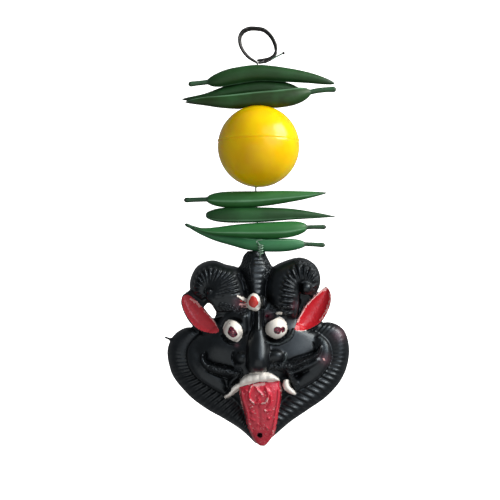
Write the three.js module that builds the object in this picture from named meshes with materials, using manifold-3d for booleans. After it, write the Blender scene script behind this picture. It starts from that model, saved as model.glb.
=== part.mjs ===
// A hanging charm against the evil eye: three plastic chillies, a plastic lemon, four more chillies and
// a black demon mask, all threaded on one steel wire that is wound into a ring at the top.
// Millimetres, +Z up, +X to the right as seen from the front. The face looks along -Y.
// The origin is the inner top side of the ring, where it hangs on its nail.
import * as THREE from "three";
import { mergeVertices } from "three/addons/utils/BufferGeometryUtils.js";
import Module from "manifold-3d";

const wasm = await Module();
wasm.setup();

// Wire
const WIRE = 1.0; // diameter of the steel wire
const WIRE_SIDES = 5;
const HOLE = 1.7; // diameter of the holes that the wire is threaded through
const TURN_OFFSET = 0.6; // how far each turn of the ring lies before or behind the middle

// Lemon
const LEMON = 40.8; // diameter
const LEMON_AT = [0.75, 0, -58.2];
const LEMON_TILT = 0.1; // radians that the seam is raised at the front
const LIP = 0.35; // how far the upper half stands proud of the lower half at the seam
const NUB = 1.5; // radius of the small boss where the wire comes out below

// Chillies
const CHILLI_SIDES = 8;
const FULLEST = 0.76; // where a pod is thickest, as a share of its length from the tip
const SHOULDER = 0.45; // radius at the end of the pod, as a share of its girth

// Mask
const RIM = 7; // Y of the flat edge at the back, which all heights are measured from
const WALL = 2.2;
const MANE_RIBS = 33; // on each side
const HORN_RIBS = 22;
const CREST_RIBS = 12;
const RIB = 0.45; // half the height from groove to ridge
const TONGUE_HOLE = 2.6;

const v3 = (x, y, z) => new THREE.Vector3(x, y, z);

// A geometry as a solid with its faces pointing out.
function solid(geometry) {
  const bare = geometry.clone();
  bare.deleteAttribute("normal");
  bare.deleteAttribute("uv");
  const merged = mergeVertices(bare, 1e-4);
  const position = merged.attributes.position;
  const index = [];
  const corner = [v3(), v3(), v3()];
  let volume = 0;
  for (let i = 0; i < merged.index.count; i += 3) {
    const ids = [0, 1, 2].map((k) => merged.index.getX(i + k));
    if (new Set(ids).size < 3) continue;
    index.push(...ids);
    ids.forEach((id, k) => corner[k].fromBufferAttribute(position, id));
    volume += corner[0].dot(corner[1].clone().cross(corner[2]));
  }
  const turned = volume < 0 ? index.reverse() : index;
  const made = new wasm.Mesh({
    numProp: 3,
    vertProperties: position.array,
    triVerts: new Uint32Array(turned),
  });
  return new wasm.Manifold(made);
}

const join = (solids) => solids.reduce((all, one) => all.add(one));

function geometryOf(made) {
  const mesh = made.getMesh();
  const geometry = new THREE.BufferGeometry();
  geometry.setAttribute("position", new THREE.BufferAttribute(mesh.vertProperties, 3));
  geometry.setIndex(new THREE.BufferAttribute(mesh.triVerts, 1));
  const flat = geometry.toNonIndexed();
  flat.computeVertexNormals();
  return flat;
}

function piece(name, made, colour, roughness, metalness) {
  const material = new THREE.MeshStandardMaterial({ color: colour, roughness, metalness });
  const mesh = new THREE.Mesh(geometryOf(made), material);
  mesh.name = name;
  return mesh;
}

// A round bar along a smooth curve through the points.
function bar(points, diameter, steps, sides = WIRE_SIDES) {
  const radius = diameter / 2;
  const circle = new THREE.Shape();
  for (let i = 0; i < sides; i++) {
    const angle = (2 * Math.PI * i) / sides;
    const move = i ? "lineTo" : "moveTo";
    circle[move](radius * Math.cos(angle), radius * Math.sin(angle));
  }
  const extrudePath = new THREE.CatmullRomCurve3(points.map((p) => v3(...p)));
  return solid(new THREE.ExtrudeGeometry(circle, { steps, bevelEnabled: false, extrudePath }));
}

// The wire's way down: through every chilli and the lemon, into the crest from above and out in front.
const THREAD = [
  [0.15, 0, -16.4],
  [0.1, -0.3, -21.9],
  [0, 0.6, -26],
  [0, 1.5, -29.2],
  [0.1, 0, -31.6],
  [0.2, -1.3, -34.4],
  [0.3, -0.2, -38.4],
  [0, 0, -58],
  [-0.6, 0, -79.5],
  [-0.4, 0, -84.4],
  [0, 0, -92.4],
  [0.3, 0.2, -100.4],
  [0.6, 0.9, -107.6],
  [0.7, 2.2, -112.4],
];
const HOOK = [
  [0.7, 2.2, -112.4],
  [0.8, 2.2, -114],
  [1, 0.4, -114.9],
  [1.2, -2.6, -114.2],
  [1.5, -4.6, -112.6],
  [2.7, -4.8, -110.4],
  [1.2, -4.7, -108.8],
  [-0.2, -4.6, -107],
  [0.4, -4.6, -105.6],
  [2.6, -4.8, -105],
];
const RING = [
  [0.15, -16.4],
  [-6.3, -11.4],
  [-8.4, -6],
  [-7.2, -1.4],
  [-2.6, 0.5],
  [3.2, -0.2],
  [8.2, -4.4],
  [9.2, -8.4],
  [7, -13.5],
  [0.4, -16.2],
];
const TAIL = [
  [-0.6, 0.5, -16.6],
  [0.1, 0.9, -17.2],
  [3.8, 0.6, -16.7],
  [7.6, 0, -14.6],
  [13.4, -0.6, -11.6],
];

function turn(y, spread) {
  const [first, ...rest] = RING;
  const middle = rest.slice(0, -1).map(([x, z]) => [x * spread, y, (z + 8) * spread - 8]);
  const last = rest.at(-1);
  return bar([[first[0], 0, first[1]], ...middle, [last[0], 0, last[1]]], WIRE, 15);
}

function wire() {
  const thread = bar(THREAD, WIRE, 16);
  const hook = bar(HOOK, WIRE, 13);
  const tail = bar(TAIL, WIRE * 0.9, 6);
  return join([turn(-TURN_OFFSET, 1), turn(TURN_OFFSET, 0.96), tail, thread, hook]);
}

// The hook's hole starts higher than the hook, so that it is clear of both wires where they join.
const threadHole = bar(THREAD, HOLE, 16);
const hookHole = bar([THREAD.at(-2), ...HOOK], HOLE, 16);

// Chillies: each line runs from the tip to the end of the stem, and neck is the place in it where the
// pod ends and the stem begins.
const CHILLIES = [
  {
    girth: 4.1,
    taper: 0.5,
    neck: 6,
    stem: 1.3,
    line: [
      [38.7, -1.2, -27],
      [26.5, -0.8, -24],
      [13, -0.5, -22.1],
      [0, -0.4, -21.6],
      [-12, -0.5, -23.3],
      [-19.3, -0.7, -25.2],
      [-23.8, -0.8, -26.1],
      [-34.3, -1.2, -27.4],
    ],
  },
  {
    girth: 3.7,
    taper: 0.65,
    neck: 5,
    stem: 1.2,
    line: [
      [-37.8, 2.8, -34.2],
      [-26, 3.4, -33.4],
      [-14, 3.7, -30.2],
      [0, 3.7, -28.6],
      [12, 3.8, -29.3],
      [21.5, 3.4, -31],
      [25, 3.1, -31.9],
    ],
  },
  {
    girth: 4.35,
    taper: 0.65,
    neck: 8,
    stem: 1.45,
    line: [
      [-36, -1.8, -36.4],
      [-27, -2.2, -35.9],
      [-18, -2.7, -36.2],
      [-9.5, -3.2, -35.4],
      [0, -3.1, -33.6],
      [8, -3.1, -33.9],
      [15, -2.7, -33.9],
      [21, -2.3, -32.7],
      [25.6, -2, -31.5],
      [32, -1.8, -30.4],
      [39.5, -1.6, -29.9],
    ],
  },
  {
    girth: 3.9,
    taper: 0.75,
    neck: 5,
    stem: 1.25,
    line: [
      [35.2, -0.4, -81.4],
      [24, -0.2, -82.6],
      [13.2, 0, -83.5],
      [0, 0, -84.5],
      [-13.9, 0, -84.8],
      [-24.3, -0.2, -84.7],
      [-36.6, -0.4, -85.1],
    ],
  },
  {
    girth: 3.6,
    taper: 0.85,
    neck: 5,
    stem: 1.2,
    line: [
      [39.5, 0.4, -93.3],
      [31.6, 0.3, -92.8],
      [17, 0.1, -92.1],
      [0, 0, -92.4],
      [-13, 0, -92.5],
      [-24.5, 0.1, -92.6],
      [-25.3, 0.1, -92.6],
    ],
  },
  {
    girth: 4.1,
    taper: 0.85,
    neck: 6,
    stem: 1.15,
    line: [
      [-32.6, -0.8, -98.7],
      [-26, -0.7, -100.2],
      [-20, -0.6, -100.6],
      [-10, -0.4, -100.4],
      [0, -0.2, -100.3],
      [13.2, -0.2, -99.9],
      [24.2, -0.3, -98.7],
      [34.6, -0.5, -98.5],
    ],
  },
  {
    girth: 3.25,
    taper: 0.6,
    neck: 6,
    stem: 1.15,
    line: [
      [-36.4, 2.6, -96.9],
      [-29, 3.1, -100.2],
      [-21, 3.5, -103],
      [-12, 3, -105.1],
      [-2, 0.9, -107.2],
      [11, 0.3, -107.6],
      [23.3, 0, -107.1],
      [34.1, -0.2, -107.6],
    ],
  },
];

// The radius of a pod at a share of its length from the tip.
function podRadius(share, girth, taper) {
  if (share < FULLEST) {
    return girth * Math.sin((Math.PI / 2) * (share / FULLEST)) ** taper;
  }
  const past = (share - FULLEST) / (1 - FULLEST);
  return girth * Math.sqrt(1 - past ** 2 * (1 - SHOULDER ** 2));
}

// A lathe-turned pod and stem, bent along its line.
function chilli({ girth, taper, neck, stem, line }) {
  const curve = new THREE.CatmullRomCurve3(line.map((p) => v3(...p)));
  const perSpan = 20;
  const lengths = curve.getLengths((line.length - 1) * perSpan);
  const podEnd = lengths[neck * perSpan] / lengths.at(-1);
  const stemStep = Math.min(1.2 / lengths.at(-1), (1 - podEnd) / 3);
  const profile = [new THREE.Vector2(0, 0)];
  for (const share of [0.05, 0.18, 0.38, 0.6, 0.8, 0.93, 1]) {
    profile.push(new THREE.Vector2(podRadius(share, girth, taper), share * podEnd));
  }
  profile.push(new THREE.Vector2(stem, podEnd + stemStep));
  profile.push(new THREE.Vector2(stem, 1 - stemStep));
  profile.push(new THREE.Vector2(stem * 0.6, 1));
  profile.push(new THREE.Vector2(0, 1));
  const geometry = new THREE.LatheGeometry(profile, CHILLI_SIDES);
  const position = geometry.attributes.position;
  const across = v3();
  const up = v3();
  const front = v3(0, -1, 0);
  for (let i = 0; i < position.count; i++) {
    const share = position.getY(i);
    const centre = curve.getPointAt(share);
    const along = curve.getTangentAt(share);
    up.crossVectors(along, front).normalize();
    across.crossVectors(up, along).normalize();
    centre.addScaledVector(across, position.getX(i)).addScaledVector(up, position.getZ(i));
    position.setXYZ(i, centre.x, centre.y, centre.z);
  }
  return solid(geometry).subtract(threadHole);
}

// Lemon: two moulded halves closed into one ball, the upper one with a lip over the lower one.
function lemon() {
  const radius = LEMON / 2;
  const rings = 10;
  const profile = [];
  for (let i = 0; i <= rings; i++) {
    const angle = -Math.PI / 2 + (Math.PI * i) / rings;
    const size = i < rings / 2 ? radius - LIP : radius;
    const x = i === 0 || i === rings ? 0 : size * Math.cos(angle);
    if (i === rings / 2) profile.push(new THREE.Vector2(radius - LIP, 0));
    profile.push(new THREE.Vector2(x, size * Math.sin(angle)));
  }
  const ball = new THREE.LatheGeometry(profile, 18);
  ball.rotateX(Math.PI / 2 - LEMON_TILT).translate(...LEMON_AT);
  const [x, y, z] = LEMON_AT;
  const below = z - radius;
  const nub = bar([[x - 1, y, below + 1.4], [x - 1.3, y, below - 0.5]], 2 * NUB, 1, 8);
  return solid(ball).add(nub).subtract(threadHole);
}

// A form of the relief between two edges, given at stations [ax, az, bx, bz, height]: a and b are the
// edges in the face plane, and height is how far the middle stands in front of the back plane.
// Its section is a rounded arch. An inset gives the same form one wall smaller, for the hollow.
function relief(stations, options = {}, inset = 0) {
  const { across = 6, along = 12, edge = 0.15, power = 2.2, ribs = 0 } = options;
  const { rib = RIB, ribbed = () => 1, shape } = options;
  const a = new THREE.CatmullRomCurve3(stations.map((s) => v3(s[0], s[4], s[1])));
  const b = new THREE.CatmullRomCurve3(stations.map((s) => v3(s[2], s[4], s[3])));
  const coarse = inset ? 0.5 : 1;
  const steps = ribs && !inset ? 2 * ribs : Math.round(along * coarse);
  const geometry = new THREE.BoxGeometry(1, 1, 1, Math.round(across * coarse), 1, steps);
  const position = geometry.attributes.position;
  const trim = inset / b.getLength();
  for (let i = 0; i < position.count; i++) {
    const place = THREE.MathUtils.lerp(trim, 1 - trim, position.getZ(i) + 0.5);
    const t = b.getUtoTmapping(place);
    const start = a.getPoint(t);
    const end = b.getPoint(t);
    const crest = start.y;
    const width = Math.hypot(end.x - start.x, end.z - start.z);
    const gap = Math.min(inset, 0.49 * width) / Math.max(width, 1e-6);
    const swung = (1 - Math.cos(Math.PI * (position.getX(i) + 0.5))) / 2;
    const u = THREE.MathUtils.lerp(gap, 1 - gap, swung);
    const x = THREE.MathUtils.lerp(start.x, end.x, u);
    const z = THREE.MathUtils.lerp(start.z, end.z, u);
    const arch = (1 - Math.abs(2 * swung - 1) ** power) ** (1 / power);
    let height = crest * (edge + (1 - edge) * arch);
    if (shape) height = shape(x, z, u, place, crest);
    if (ribs && !inset) height += rib * ribbed(u) * Math.cos(2 * Math.PI * ribs * place);
    const back = inset ? -3 : -1;
    const spare = inset && shape ? 0.8 : 0;
    const front = Math.max(height - inset - spare, back + 0.5);
    position.setXYZ(i, x, RIM - (position.getY(i) < 0 ? front : back), z);
  }
  return solid(geometry);
}

// Stations of a band along a middle line of points [x, z, width, height].
function band(points) {
  const middle = new THREE.CatmullRomCurve3(points.map(([x, z]) => v3(x, 0, z)));
  return points.map(([x, z, width, height], i) => {
    const along = middle.getTangent(i / (points.length - 1));
    const [dx, dz] = [(-along.z * width) / 2, (along.x * width) / 2];
    return [x + dx, z + dz, x - dx, z - dz, height];
  });
}

// A rounded lump whose front is at the height top.
function lump({ x, z, width, tall, top, depth, turned = 0, sides = 8, rings = 4 }) {
  const geometry = new THREE.SphereGeometry(1, sides, rings);
  geometry.rotateX(Math.PI / 2);
  geometry.scale(width / 2, depth, tall / 2);
  geometry.rotateY(turned);
  geometry.translate(x, RIM - top + depth, z);
  return solid(geometry);
}

const hump = (x, z, cx, cz, sx, sz) => Math.exp(-(((x - cx) / sx) ** 2) - ((z - cz) / sz) ** 2);

// Mane: a ribbed ruff in a heart shape round the face, from behind an ear down to the point.
const MANE_RIGHT = [
  [25, -150, 29, -146.8, 7],
  [30, -154, 37, -146.2, 8],
  [33.5, -157.6, 43.4, -150, 8.5],
  [35.2, -161, 46, -158, 9],
  [34.8, -166, 45.4, -166.6, 9],
  [30, -170, 42, -175, 9],
  [22.5, -174.8, 35, -183.1, 9],
  [14.5, -180.6, 25.6, -189.8, 9],
  [8, -186.6, 16.6, -196, 9],
  [4, -195, 8.4, -203, 8.5],
  [1.5, -203, 2, -207.6, 7],
];
const MANE_LEFT = [
  [-25, -153, -28.5, -149, 7],
  [-29.6, -155.4, -35.6, -148.8, 8],
  [-32, -158.4, -41.6, -152.6, 8.5],
  [-33, -161.6, -44.7, -159.5, 9],
  [-32, -166.6, -43.9, -167.7, 9],
  [-28, -171, -41, -174.6, 9],
  [-21, -175.8, -33.4, -183.3, 9],
  [-13.5, -180.8, -25, -189.6, 9],
  [-7.8, -186.4, -16.8, -194.2, 9],
  [-4.5, -195, -8, -199.9, 8.5],
  [-1, -203, -0.6, -206.8, 7],
];
const mane = {
  across: 2,
  along: 20,
  ribs: MANE_RIBS,
  ribbed: (u) => (u > 0.1 ? 1 : 0),
  shape: (x, z, u, place, crest) => crest * (0.82 + 0.45 * u - 0.95 * u ** 2.4),
};

// Face: one smooth shield with brows, cheeks, muzzle and hollows at the eyes and the mouth's corners.
const FACE = [
  [-17, -136, 17, -136, 15],
  [-20.5, -143, 20.5, -143, 17],
  [-23, -149, 24.5, -148.5, 17.5],
  [-31, -153.6, 32.5, -152.6, 17],
  [-35.2, -160.5, 37.4, -160, 17],
  [-34, -167.4, 36.2, -167, 17],
  [-27, -174, 27.6, -174, 16.5],
  [-16.6, -180.4, 18.4, -180.4, 15],
  [-8.7, -187.4, 10.6, -187.4, 13],
  [-5, -194, 6.4, -194, 11],
];
const EYES = [
  { x: -12.2, z: -150.6, width: 9.6, tall: 10.8, top: 23, depth: 6, turned: 0.5, sides: 9, rings: 5 },
  { x: 9.75, z: -149.4, width: 10.9, tall: 11.4, top: 23.5, depth: 6, sides: 9, rings: 5 },
];
function faceHeight(x, z, u, place, crest) {
  const round = (1 - Math.abs(2 * u - 1) ** 2.8) ** 0.55;
  const foot = 6.5;
  let height = foot + (crest - foot) * round;
  for (const side of [-1, 1]) {
    height += 3 * hump(x, z, side * 23, -159.5, 10, 7);
    height += 2 * hump(x, z, side * 12, -142.5, 9, 4) * round;
    height -= 3 * hump(x, z, side * 20.5, -171.5, 5, 3);
  }
  for (const eye of EYES) height -= 1.2 * hump(x, z, eye.x, eye.z, 7.5, 7.5);
  return height + 4 * hump(x, z, 1, -166, 12, 9);
}

const NOSE = [
  [-1.4, -139, 3, -139, 18.5],
  [-1.6, -146, 3.4, -146, 20.5],
  [-2.7, -152, 4.3, -152, 23],
  [-4.4, -158, 5.8, -158, 27],
  [-5, -163, 6.5, -163, 29.5],
  [-4.6, -167, 6.1, -167, 28.5],
  [-2.4, -169.9, 3.9, -169.9, 24],
];
const WINGS = [
  { x: -8, z: -163.4, width: 9, tall: 8, top: 23, depth: 5 },
  { x: 9.4, z: -163, width: 9.4, tall: 8.4, top: 23.5, depth: 5 },
];

// Horns: curled like a ram's. a is the edge at the curl, b is the outline.
const HORN_RIGHT = [
  [19.5, -144, 9.5, -143, 18],
  [20.6, -139, 5.6, -137.5, 19.5],
  [21, -134.5, 4.1, -132, 19.5],
  [21.4, -131, 4.6, -126, 18.5],
  [21.6, -130, 7.5, -119, 17.5],
  [22.2, -129, 14, -115.4, 16.5],
  [22.8, -128.6, 22, -113.7, 15.5],
  [23.3, -128.4, 28.7, -117, 14],
  [23.8, -128.6, 31.6, -122.9, 12.5],
  [24, -129.2, 31, -129, 11.5],
  [23.8, -130, 27.6, -133.4, 11],
];
const HORN_LEFT = [
  [-19.5, -140.5, -6, -140, 18],
  [-20, -136.5, -4, -134.5, 19],
  [-21, -133.5, -4.6, -129.8, 18.5],
  [-22, -131.6, -6.5, -124.6, 17.5],
  [-22.8, -130.6, -9.5, -118.9, 16.5],
  [-23.4, -130, -15.6, -117.1, 15.5],
  [-24, -129.7, -22.4, -115.1, 14.5],
  [-24.7, -129.8, -29.6, -117.8, 13.5],
  [-25.2, -130.2, -33.3, -124.5, 12.5],
  [-25.3, -130.8, -32.9, -131.4, 11.5],
  [-25, -131.4, -27.4, -136, 11],
];
const horn = { across: 4, along: 16, ribs: HORN_RIBS, edge: 0.3, ribbed: (u) => (u < 0.95 ? 1 : 0) };
const CURLS = [
  { x: -24.2, z: -130.6, width: 5, tall: 5, top: 12.5, depth: 4 },
  { x: 25.6, z: -128.8, width: 5, tall: 5, top: 13, depth: 4 },
];

// Crest: the ribbed tuft between the horns that the wire holds.
const CREST = [
  [-4.3, -111.2, 3.5, -111.2, 8.5],
  [-6.9, -113.2, 4.8, -113.2, 10],
  [-8, -116.7, 6.7, -116.7, 12],
  [-9.2, -119.4, 7.7, -119.4, 13.5],
  [-6.8, -125, 5.6, -125, 14.5],
  [-5, -130, 4.7, -130, 15.5],
  [-4, -136, 4.6, -136, 16],
];
const crest = { across: 4, along: 8, ribs: CREST_RIBS, edge: 0.45, ribbed: (u) => (u > 0.4 ? 1 : 0) };

// Ears: scooped leaves. a is the edge next to the head, b is the outer edge.
const EAR_LEFT = [
  [-36.6, -132, -37.5, -133.1, 6],
  [-33.3, -131.8, -38, -136.2, 7.5],
  [-30.3, -135, -37, -140, 8.5],
  [-27.3, -138, -34.8, -144.5, 9.5],
  [-24.6, -141.4, -31.6, -148.4, 10.5],
  [-21.6, -144.8, -26.8, -151.2, 12],
  [-19, -148.2, -21.6, -152, 13.5],
  [-17.6, -150.4, -18.4, -151.8, 15],
];
const EAR_RIGHT = [
  [34.4, -128.2, 35.6, -128.9, 6],
  [31.2, -130.8, 37, -132.4, 7.5],
  [28, -133.9, 36.7, -137, 8.5],
  [24.8, -137.2, 34.7, -142, 9.5],
  [22.2, -141.2, 31.5, -146.6, 10.5],
  [20.2, -145.2, 26.8, -149.5, 12],
  [18.6, -148.4, 22, -150.7, 13.5],
  [17.8, -150, 19, -151, 15],
];
const ear = {
  across: 4,
  along: 8,
  shape: (x, z, u, place, top) => top - 2.6 * Math.sin(Math.PI * u) ** 0.7 * Math.sin(Math.PI * place) ** 0.4,
};
// The low webs that fill the corners between the horns and the ears. The left one leaves a hole open.
const WEB_LEFT = [
  [-35.5, -131.2, -32, -129, 7],
  [-30.4, -136.2, -27, -130, 8],
  [-27, -138.9, -23.4, -129.6, 9],
  [-24, -136.9, -20, -131, 11],
  [-20.5, -140.4, -17, -137, 13],
  [-21, -145, -16, -143, 14],
];
const WEB_RIGHT = [
  [19, -146, 22, -145.6, 8],
  [19.5, -139, 26.5, -139.5, 6],
  [20, -134, 30, -135, 6],
  [21.5, -127.5, 30, -129.5, 6],
];
const web = { across: 2, along: 5, edge: 1 };

const MOUSTACHE = [
  [[-11, -168.4, 3.6, 20], [-16, -168, 4.4, 20.5], [-21.5, -166.6, 4, 20], [-26.5, -165, 3, 19],
    [-29, -162.4, 2.6, 18], [-28, -160.4, 1.8, 17.5]],
  [[12.5, -168, 3.6, 20], [17, -167.2, 4.4, 20.5], [22.4, -165, 4, 20.5], [27, -163.8, 3, 19.5],
    [30, -161.4, 2.6, 18], [28.8, -158, 1.8, 18]],
];
const LIPS = [
  [[-9.5, -171, 2.4, 21], [-14, -173.6, 2.6, 19], [-17.6, -178.6, 2.2, 16]],
  [[11.5, -169.8, 2.4, 21.5], [16.4, -172.2, 2.8, 19.5], [20, -178, 2.2, 16]],
];
const TEETH = [
  [-9, -176, -8.6, -179.4, 20.5],
  [-4.4, -172.4, -3.8, -177.4, 22],
  [1.2, -171.2, 1.2, -176.4, 22.5],
  [6.8, -171.8, 6.8, -176.2, 22],
  [11.2, -174.4, 11.4, -177, 20.5],
];
const FANGS = [
  [[-7.6, -176.4, 3, 19.5], [-11.6, -180, 2.8, 19], [-16, -183.6, 1.6, 16.5]],
  [[15.4, -174.6, 2, 20], [13.6, -177.4, 2.8, 19.5], [16, -180.4, 2.6, 18.5], [19.4, -182.2, 1.6, 16.5]],
];
const TONGUE = [
  [-9, -176.8, 11.6, -175.6, 20],
  [-8.7, -181, 11.9, -180.4, 21.5],
  [-7.8, -185, 11.5, -185, 21.5],
  [-6.1, -192, 10.6, -192, 20],
  [-4.3, -199, 9.1, -199, 17.5],
  [-2.2, -203.6, 7.5, -203.6, 15],
  [0.2, -206.6, 5.2, -206.6, 13],
  [1.8, -208, 3.6, -208, 12],
];
const TONGUE_LOOP = [
  [-3.6, -178, 1.3, 22.4],
  [-4.4, -183, 1.3, 22.9],
  [-1.6, -186.8, 1.4, 22.8],
  [3.2, -186.4, 1.4, 22.8],
  [6.4, -182.6, 1.3, 22.9],
  [5.2, -178.6, 1.3, 22.4],
];
const tongue = { across: 4, along: 9, edge: 0.8, power: 3 };
const BINDI = { x: -2, z: -136, width: 7.2, tall: 9, top: 21.5, depth: 4, turned: 0.15 };
const BUMP = { x: 3.6, z: -135.4, width: 4.4, tall: 5.4, top: 19, depth: 4 };

// The mask's forms are measured as they appear from the front, so what stands nearer is drawn in
// towards the line of sight, and the flat edge at the back is spread a little.
const VIEW = { x: -3.5, z: -110, away: 420 };
function drawnIn(made) {
  return made.warp((point) => {
    const share = (VIEW.away + point[1]) / VIEW.away;
    point[0] = VIEW.x + (point[0] - VIEW.x) * share;
    point[2] = VIEW.z + (point[2] - VIEW.z) * share;
  });
}

// The hollow keeps the wall's thickness all over, but the tongue's tip is solid round its hole.
function mask() {
  const hollowed = [
    [MANE_LEFT, mane],
    [MANE_RIGHT, mane],
    [FACE, { across: 10, along: 11, shape: faceHeight }],
    [HORN_LEFT, horn],
    [HORN_RIGHT, horn],
    [CREST, crest],
    [NOSE, { across: 5, along: 8, edge: 0.6 }],
    [TONGUE, tongue, TONGUE.slice(0, 5)],
    [EAR_LEFT, ear],
    [EAR_RIGHT, ear],
    [WEB_RIGHT, web],
  ];
  const applied = [
    relief(WEB_LEFT, web),
    relief(TEETH, { across: 3, ribs: 6, rib: 0.3, edge: 0.85 }),
    relief(band(TONGUE_LOOP), { across: 2, along: 9, edge: 0.9 }),
    ...MOUSTACHE.map((line) => relief(band(line), { across: 3, along: 7, edge: 0.7 })),
    ...LIPS.map((line) => relief(band(line), { across: 2, along: 4, edge: 0.8 })),
    ...FANGS.map((line) => relief(band(line), { across: 2, along: 4, edge: 0.8 })),
    ...[...EYES, ...WINGS, ...CURLS, BINDI, BUMP].map(lump),
  ];
  const outside = join([...hollowed.map(([stations, how]) => relief(stations, how)), ...applied]);
  const inside = join(hollowed.map(([all, how, open = all]) => relief(open, how, WALL)));
  const behind = new THREE.BoxGeometry(140, 20, 140).translate(0, RIM + 10, -160);
  const eyelet = new THREE.CylinderGeometry(TONGUE_HOLE / 2, TONGUE_HOLE / 2, 60, 10);
  eyelet.translate(1.4, 0, -200.9);
  return drawnIn(outside.subtract(inside).subtract(solid(behind)))
    .subtract(solid(eyelet))
    .subtract(threadHole)
    .subtract(hookHole);
}

const charm = new THREE.Group();
charm.add(piece("wire", wire(), "#262626", 0.45, 0.8));
CHILLIES.forEach((one, i) => {
  charm.add(piece(`chilli_${i + 1}`, chilli(one), i < 3 ? "#265430" : "#3a7a4c", 0.45, 0));
});
charm.add(piece("lemon", lemon(), "#e8cf10", 0.25, 0));
charm.add(piece("mask", mask(), "#1c1e20", 0.4, 0));

export default charm;
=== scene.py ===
# A hanging charm against the evil eye: a wire ring, three plastic chillies, a plastic lemon, four more
# chillies and a black demon mask with its tongue out. Metres in the scene; sizes below in millimetres.
import math

import bmesh
import bpy
import numpy as np
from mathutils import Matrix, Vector
from mathutils.kdtree import KDTree


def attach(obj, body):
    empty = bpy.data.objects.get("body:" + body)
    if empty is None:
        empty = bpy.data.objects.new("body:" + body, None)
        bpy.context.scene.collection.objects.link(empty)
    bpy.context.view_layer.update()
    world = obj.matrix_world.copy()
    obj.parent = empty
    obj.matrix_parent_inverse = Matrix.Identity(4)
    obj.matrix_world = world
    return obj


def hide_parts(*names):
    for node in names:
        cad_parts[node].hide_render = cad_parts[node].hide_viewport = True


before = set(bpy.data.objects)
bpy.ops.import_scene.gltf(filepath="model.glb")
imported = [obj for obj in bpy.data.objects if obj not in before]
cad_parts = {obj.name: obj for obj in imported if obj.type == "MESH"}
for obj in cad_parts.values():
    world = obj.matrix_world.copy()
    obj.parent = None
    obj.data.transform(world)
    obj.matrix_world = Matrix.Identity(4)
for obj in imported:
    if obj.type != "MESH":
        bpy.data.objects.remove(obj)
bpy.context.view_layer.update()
bpy.ops.object.select_all(action="DESELECT")
scene = bpy.context.scene
MM = 0.001


# Camera
# The photograph is taken straight from the front, level with the middle of the charm, from about 0.42 m,
# and 250 mm at the charm's distance fill its frame.
CAMERA_AWAY = 420 * MM
FRAME_ACROSS = 250 * MM
AIM = Vector((-3.5, 0, -110)) * MM
bpy.ops.object.camera_add(location=AIM - Vector((0, CAMERA_AWAY, 0)), rotation=(math.pi / 2, 0, 0))
camera = bpy.context.object
camera.data.sensor_width = 36
camera.data.lens = camera.data.sensor_width * CAMERA_AWAY / FRAME_ACROSS
camera.data.clip_start = 0.01
scene.camera = camera
scene.view_settings.view_transform = "Standard"


# Paper sweep
# A white paper sheet that lies on the floor and curves up into the backdrop far behind the charm. It
# is lit from behind, so it is pure white where the camera sees it.
def linear(colour):
    """An sRGB hex colour as the linear colour that a shader takes."""
    channels = [int(colour[i : i + 2], 16) / 255 for i in (1, 3, 5)]
    return (*[c / 12.92 if c <= 0.04045 else ((c + 0.055) / 1.055) ** 2.4 for c in channels], 1)


def add(tree, kind, inputs=None, stops=(), **settings):
    """Adds a node. An input is a value, or another node's output that is linked to it. The stops of a
    colour ramp are pairs of a position and a colour."""
    node = tree.nodes.new(kind)
    for name, value in settings.items():
        setattr(node, name, value)
    for name, value in (inputs or {}).items():
        if isinstance(value, bpy.types.NodeSocket):
            tree.links.new(value, node.inputs[name])
        else:
            node.inputs[name].default_value = value
    for number, (position, colour) in enumerate(stops):
        elements = node.color_ramp.elements
        stop = elements[number] if number < 2 else elements.new(position)
        stop.position = position
        stop.color = linear(colour)
    return node


def new_material(name):
    """An empty material and its node tree."""
    made = bpy.data.materials.new(name)
    made.use_nodes = True
    made.node_tree.nodes.clear()
    return made, made.node_tree


def select(obj, kind, test):
    """In edit mode, selects the vertices, edges or faces whose middle passes the test."""
    bpy.ops.mesh.select_mode(type={"verts": "VERT", "edges": "EDGE", "faces": "FACE"}[kind])
    bpy.ops.mesh.select_all(action="DESELECT")
    shape = bmesh.from_edit_mesh(obj.data)
    for element in getattr(shape, kind):
        corners = [element] if kind == "verts" else element.verts
        middle = sum((corner.co for corner in corners), Vector()) / len(corners)
        if test(middle):
            element.select_set(True)
    bmesh.update_edit_mesh(obj.data)


def pick(*objects):
    """Selects these objects alone and makes the first one active."""
    bpy.ops.object.select_all(action="DESELECT")
    for one in objects:
        one.select_set(True)
    bpy.context.view_layer.objects.active = objects[0]


def placed(obj):
    """Puts an object's place, turn and size into its mesh."""
    pick(obj)
    bpy.ops.object.transform_apply(location=True, rotation=True, scale=True)
    return obj


# The paper's sizes are in metres.
FLOOR = -0.46
PAPER = 3.2
PAPER_BACK = 0.8
PAPER_TALL = 2
PAPER_CURVE = 0.3
GLOW_FROM = 0.25
GLOW_FULL = 0.55
bpy.ops.mesh.primitive_plane_add(size=PAPER, location=(0, PAPER_BACK - PAPER / 2, FLOOR))
sweep = placed(bpy.context.object)
sweep.name = "paper_sweep"
bpy.ops.object.mode_set(mode="EDIT")
select(sweep, "edges", lambda middle: middle.y > PAPER_BACK - 0.01)
bpy.ops.mesh.extrude_region_move(TRANSFORM_OT_translate={"value": (0, 0, PAPER_TALL)})
select(sweep, "edges", lambda middle: middle.y > PAPER_BACK - 0.01 and middle.z < FLOOR + 0.01)
bpy.ops.mesh.bevel(offset=PAPER_CURVE, segments=12, affect="EDGES")
bpy.ops.object.mode_set(mode="OBJECT")
bpy.ops.object.shade_smooth()

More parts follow.
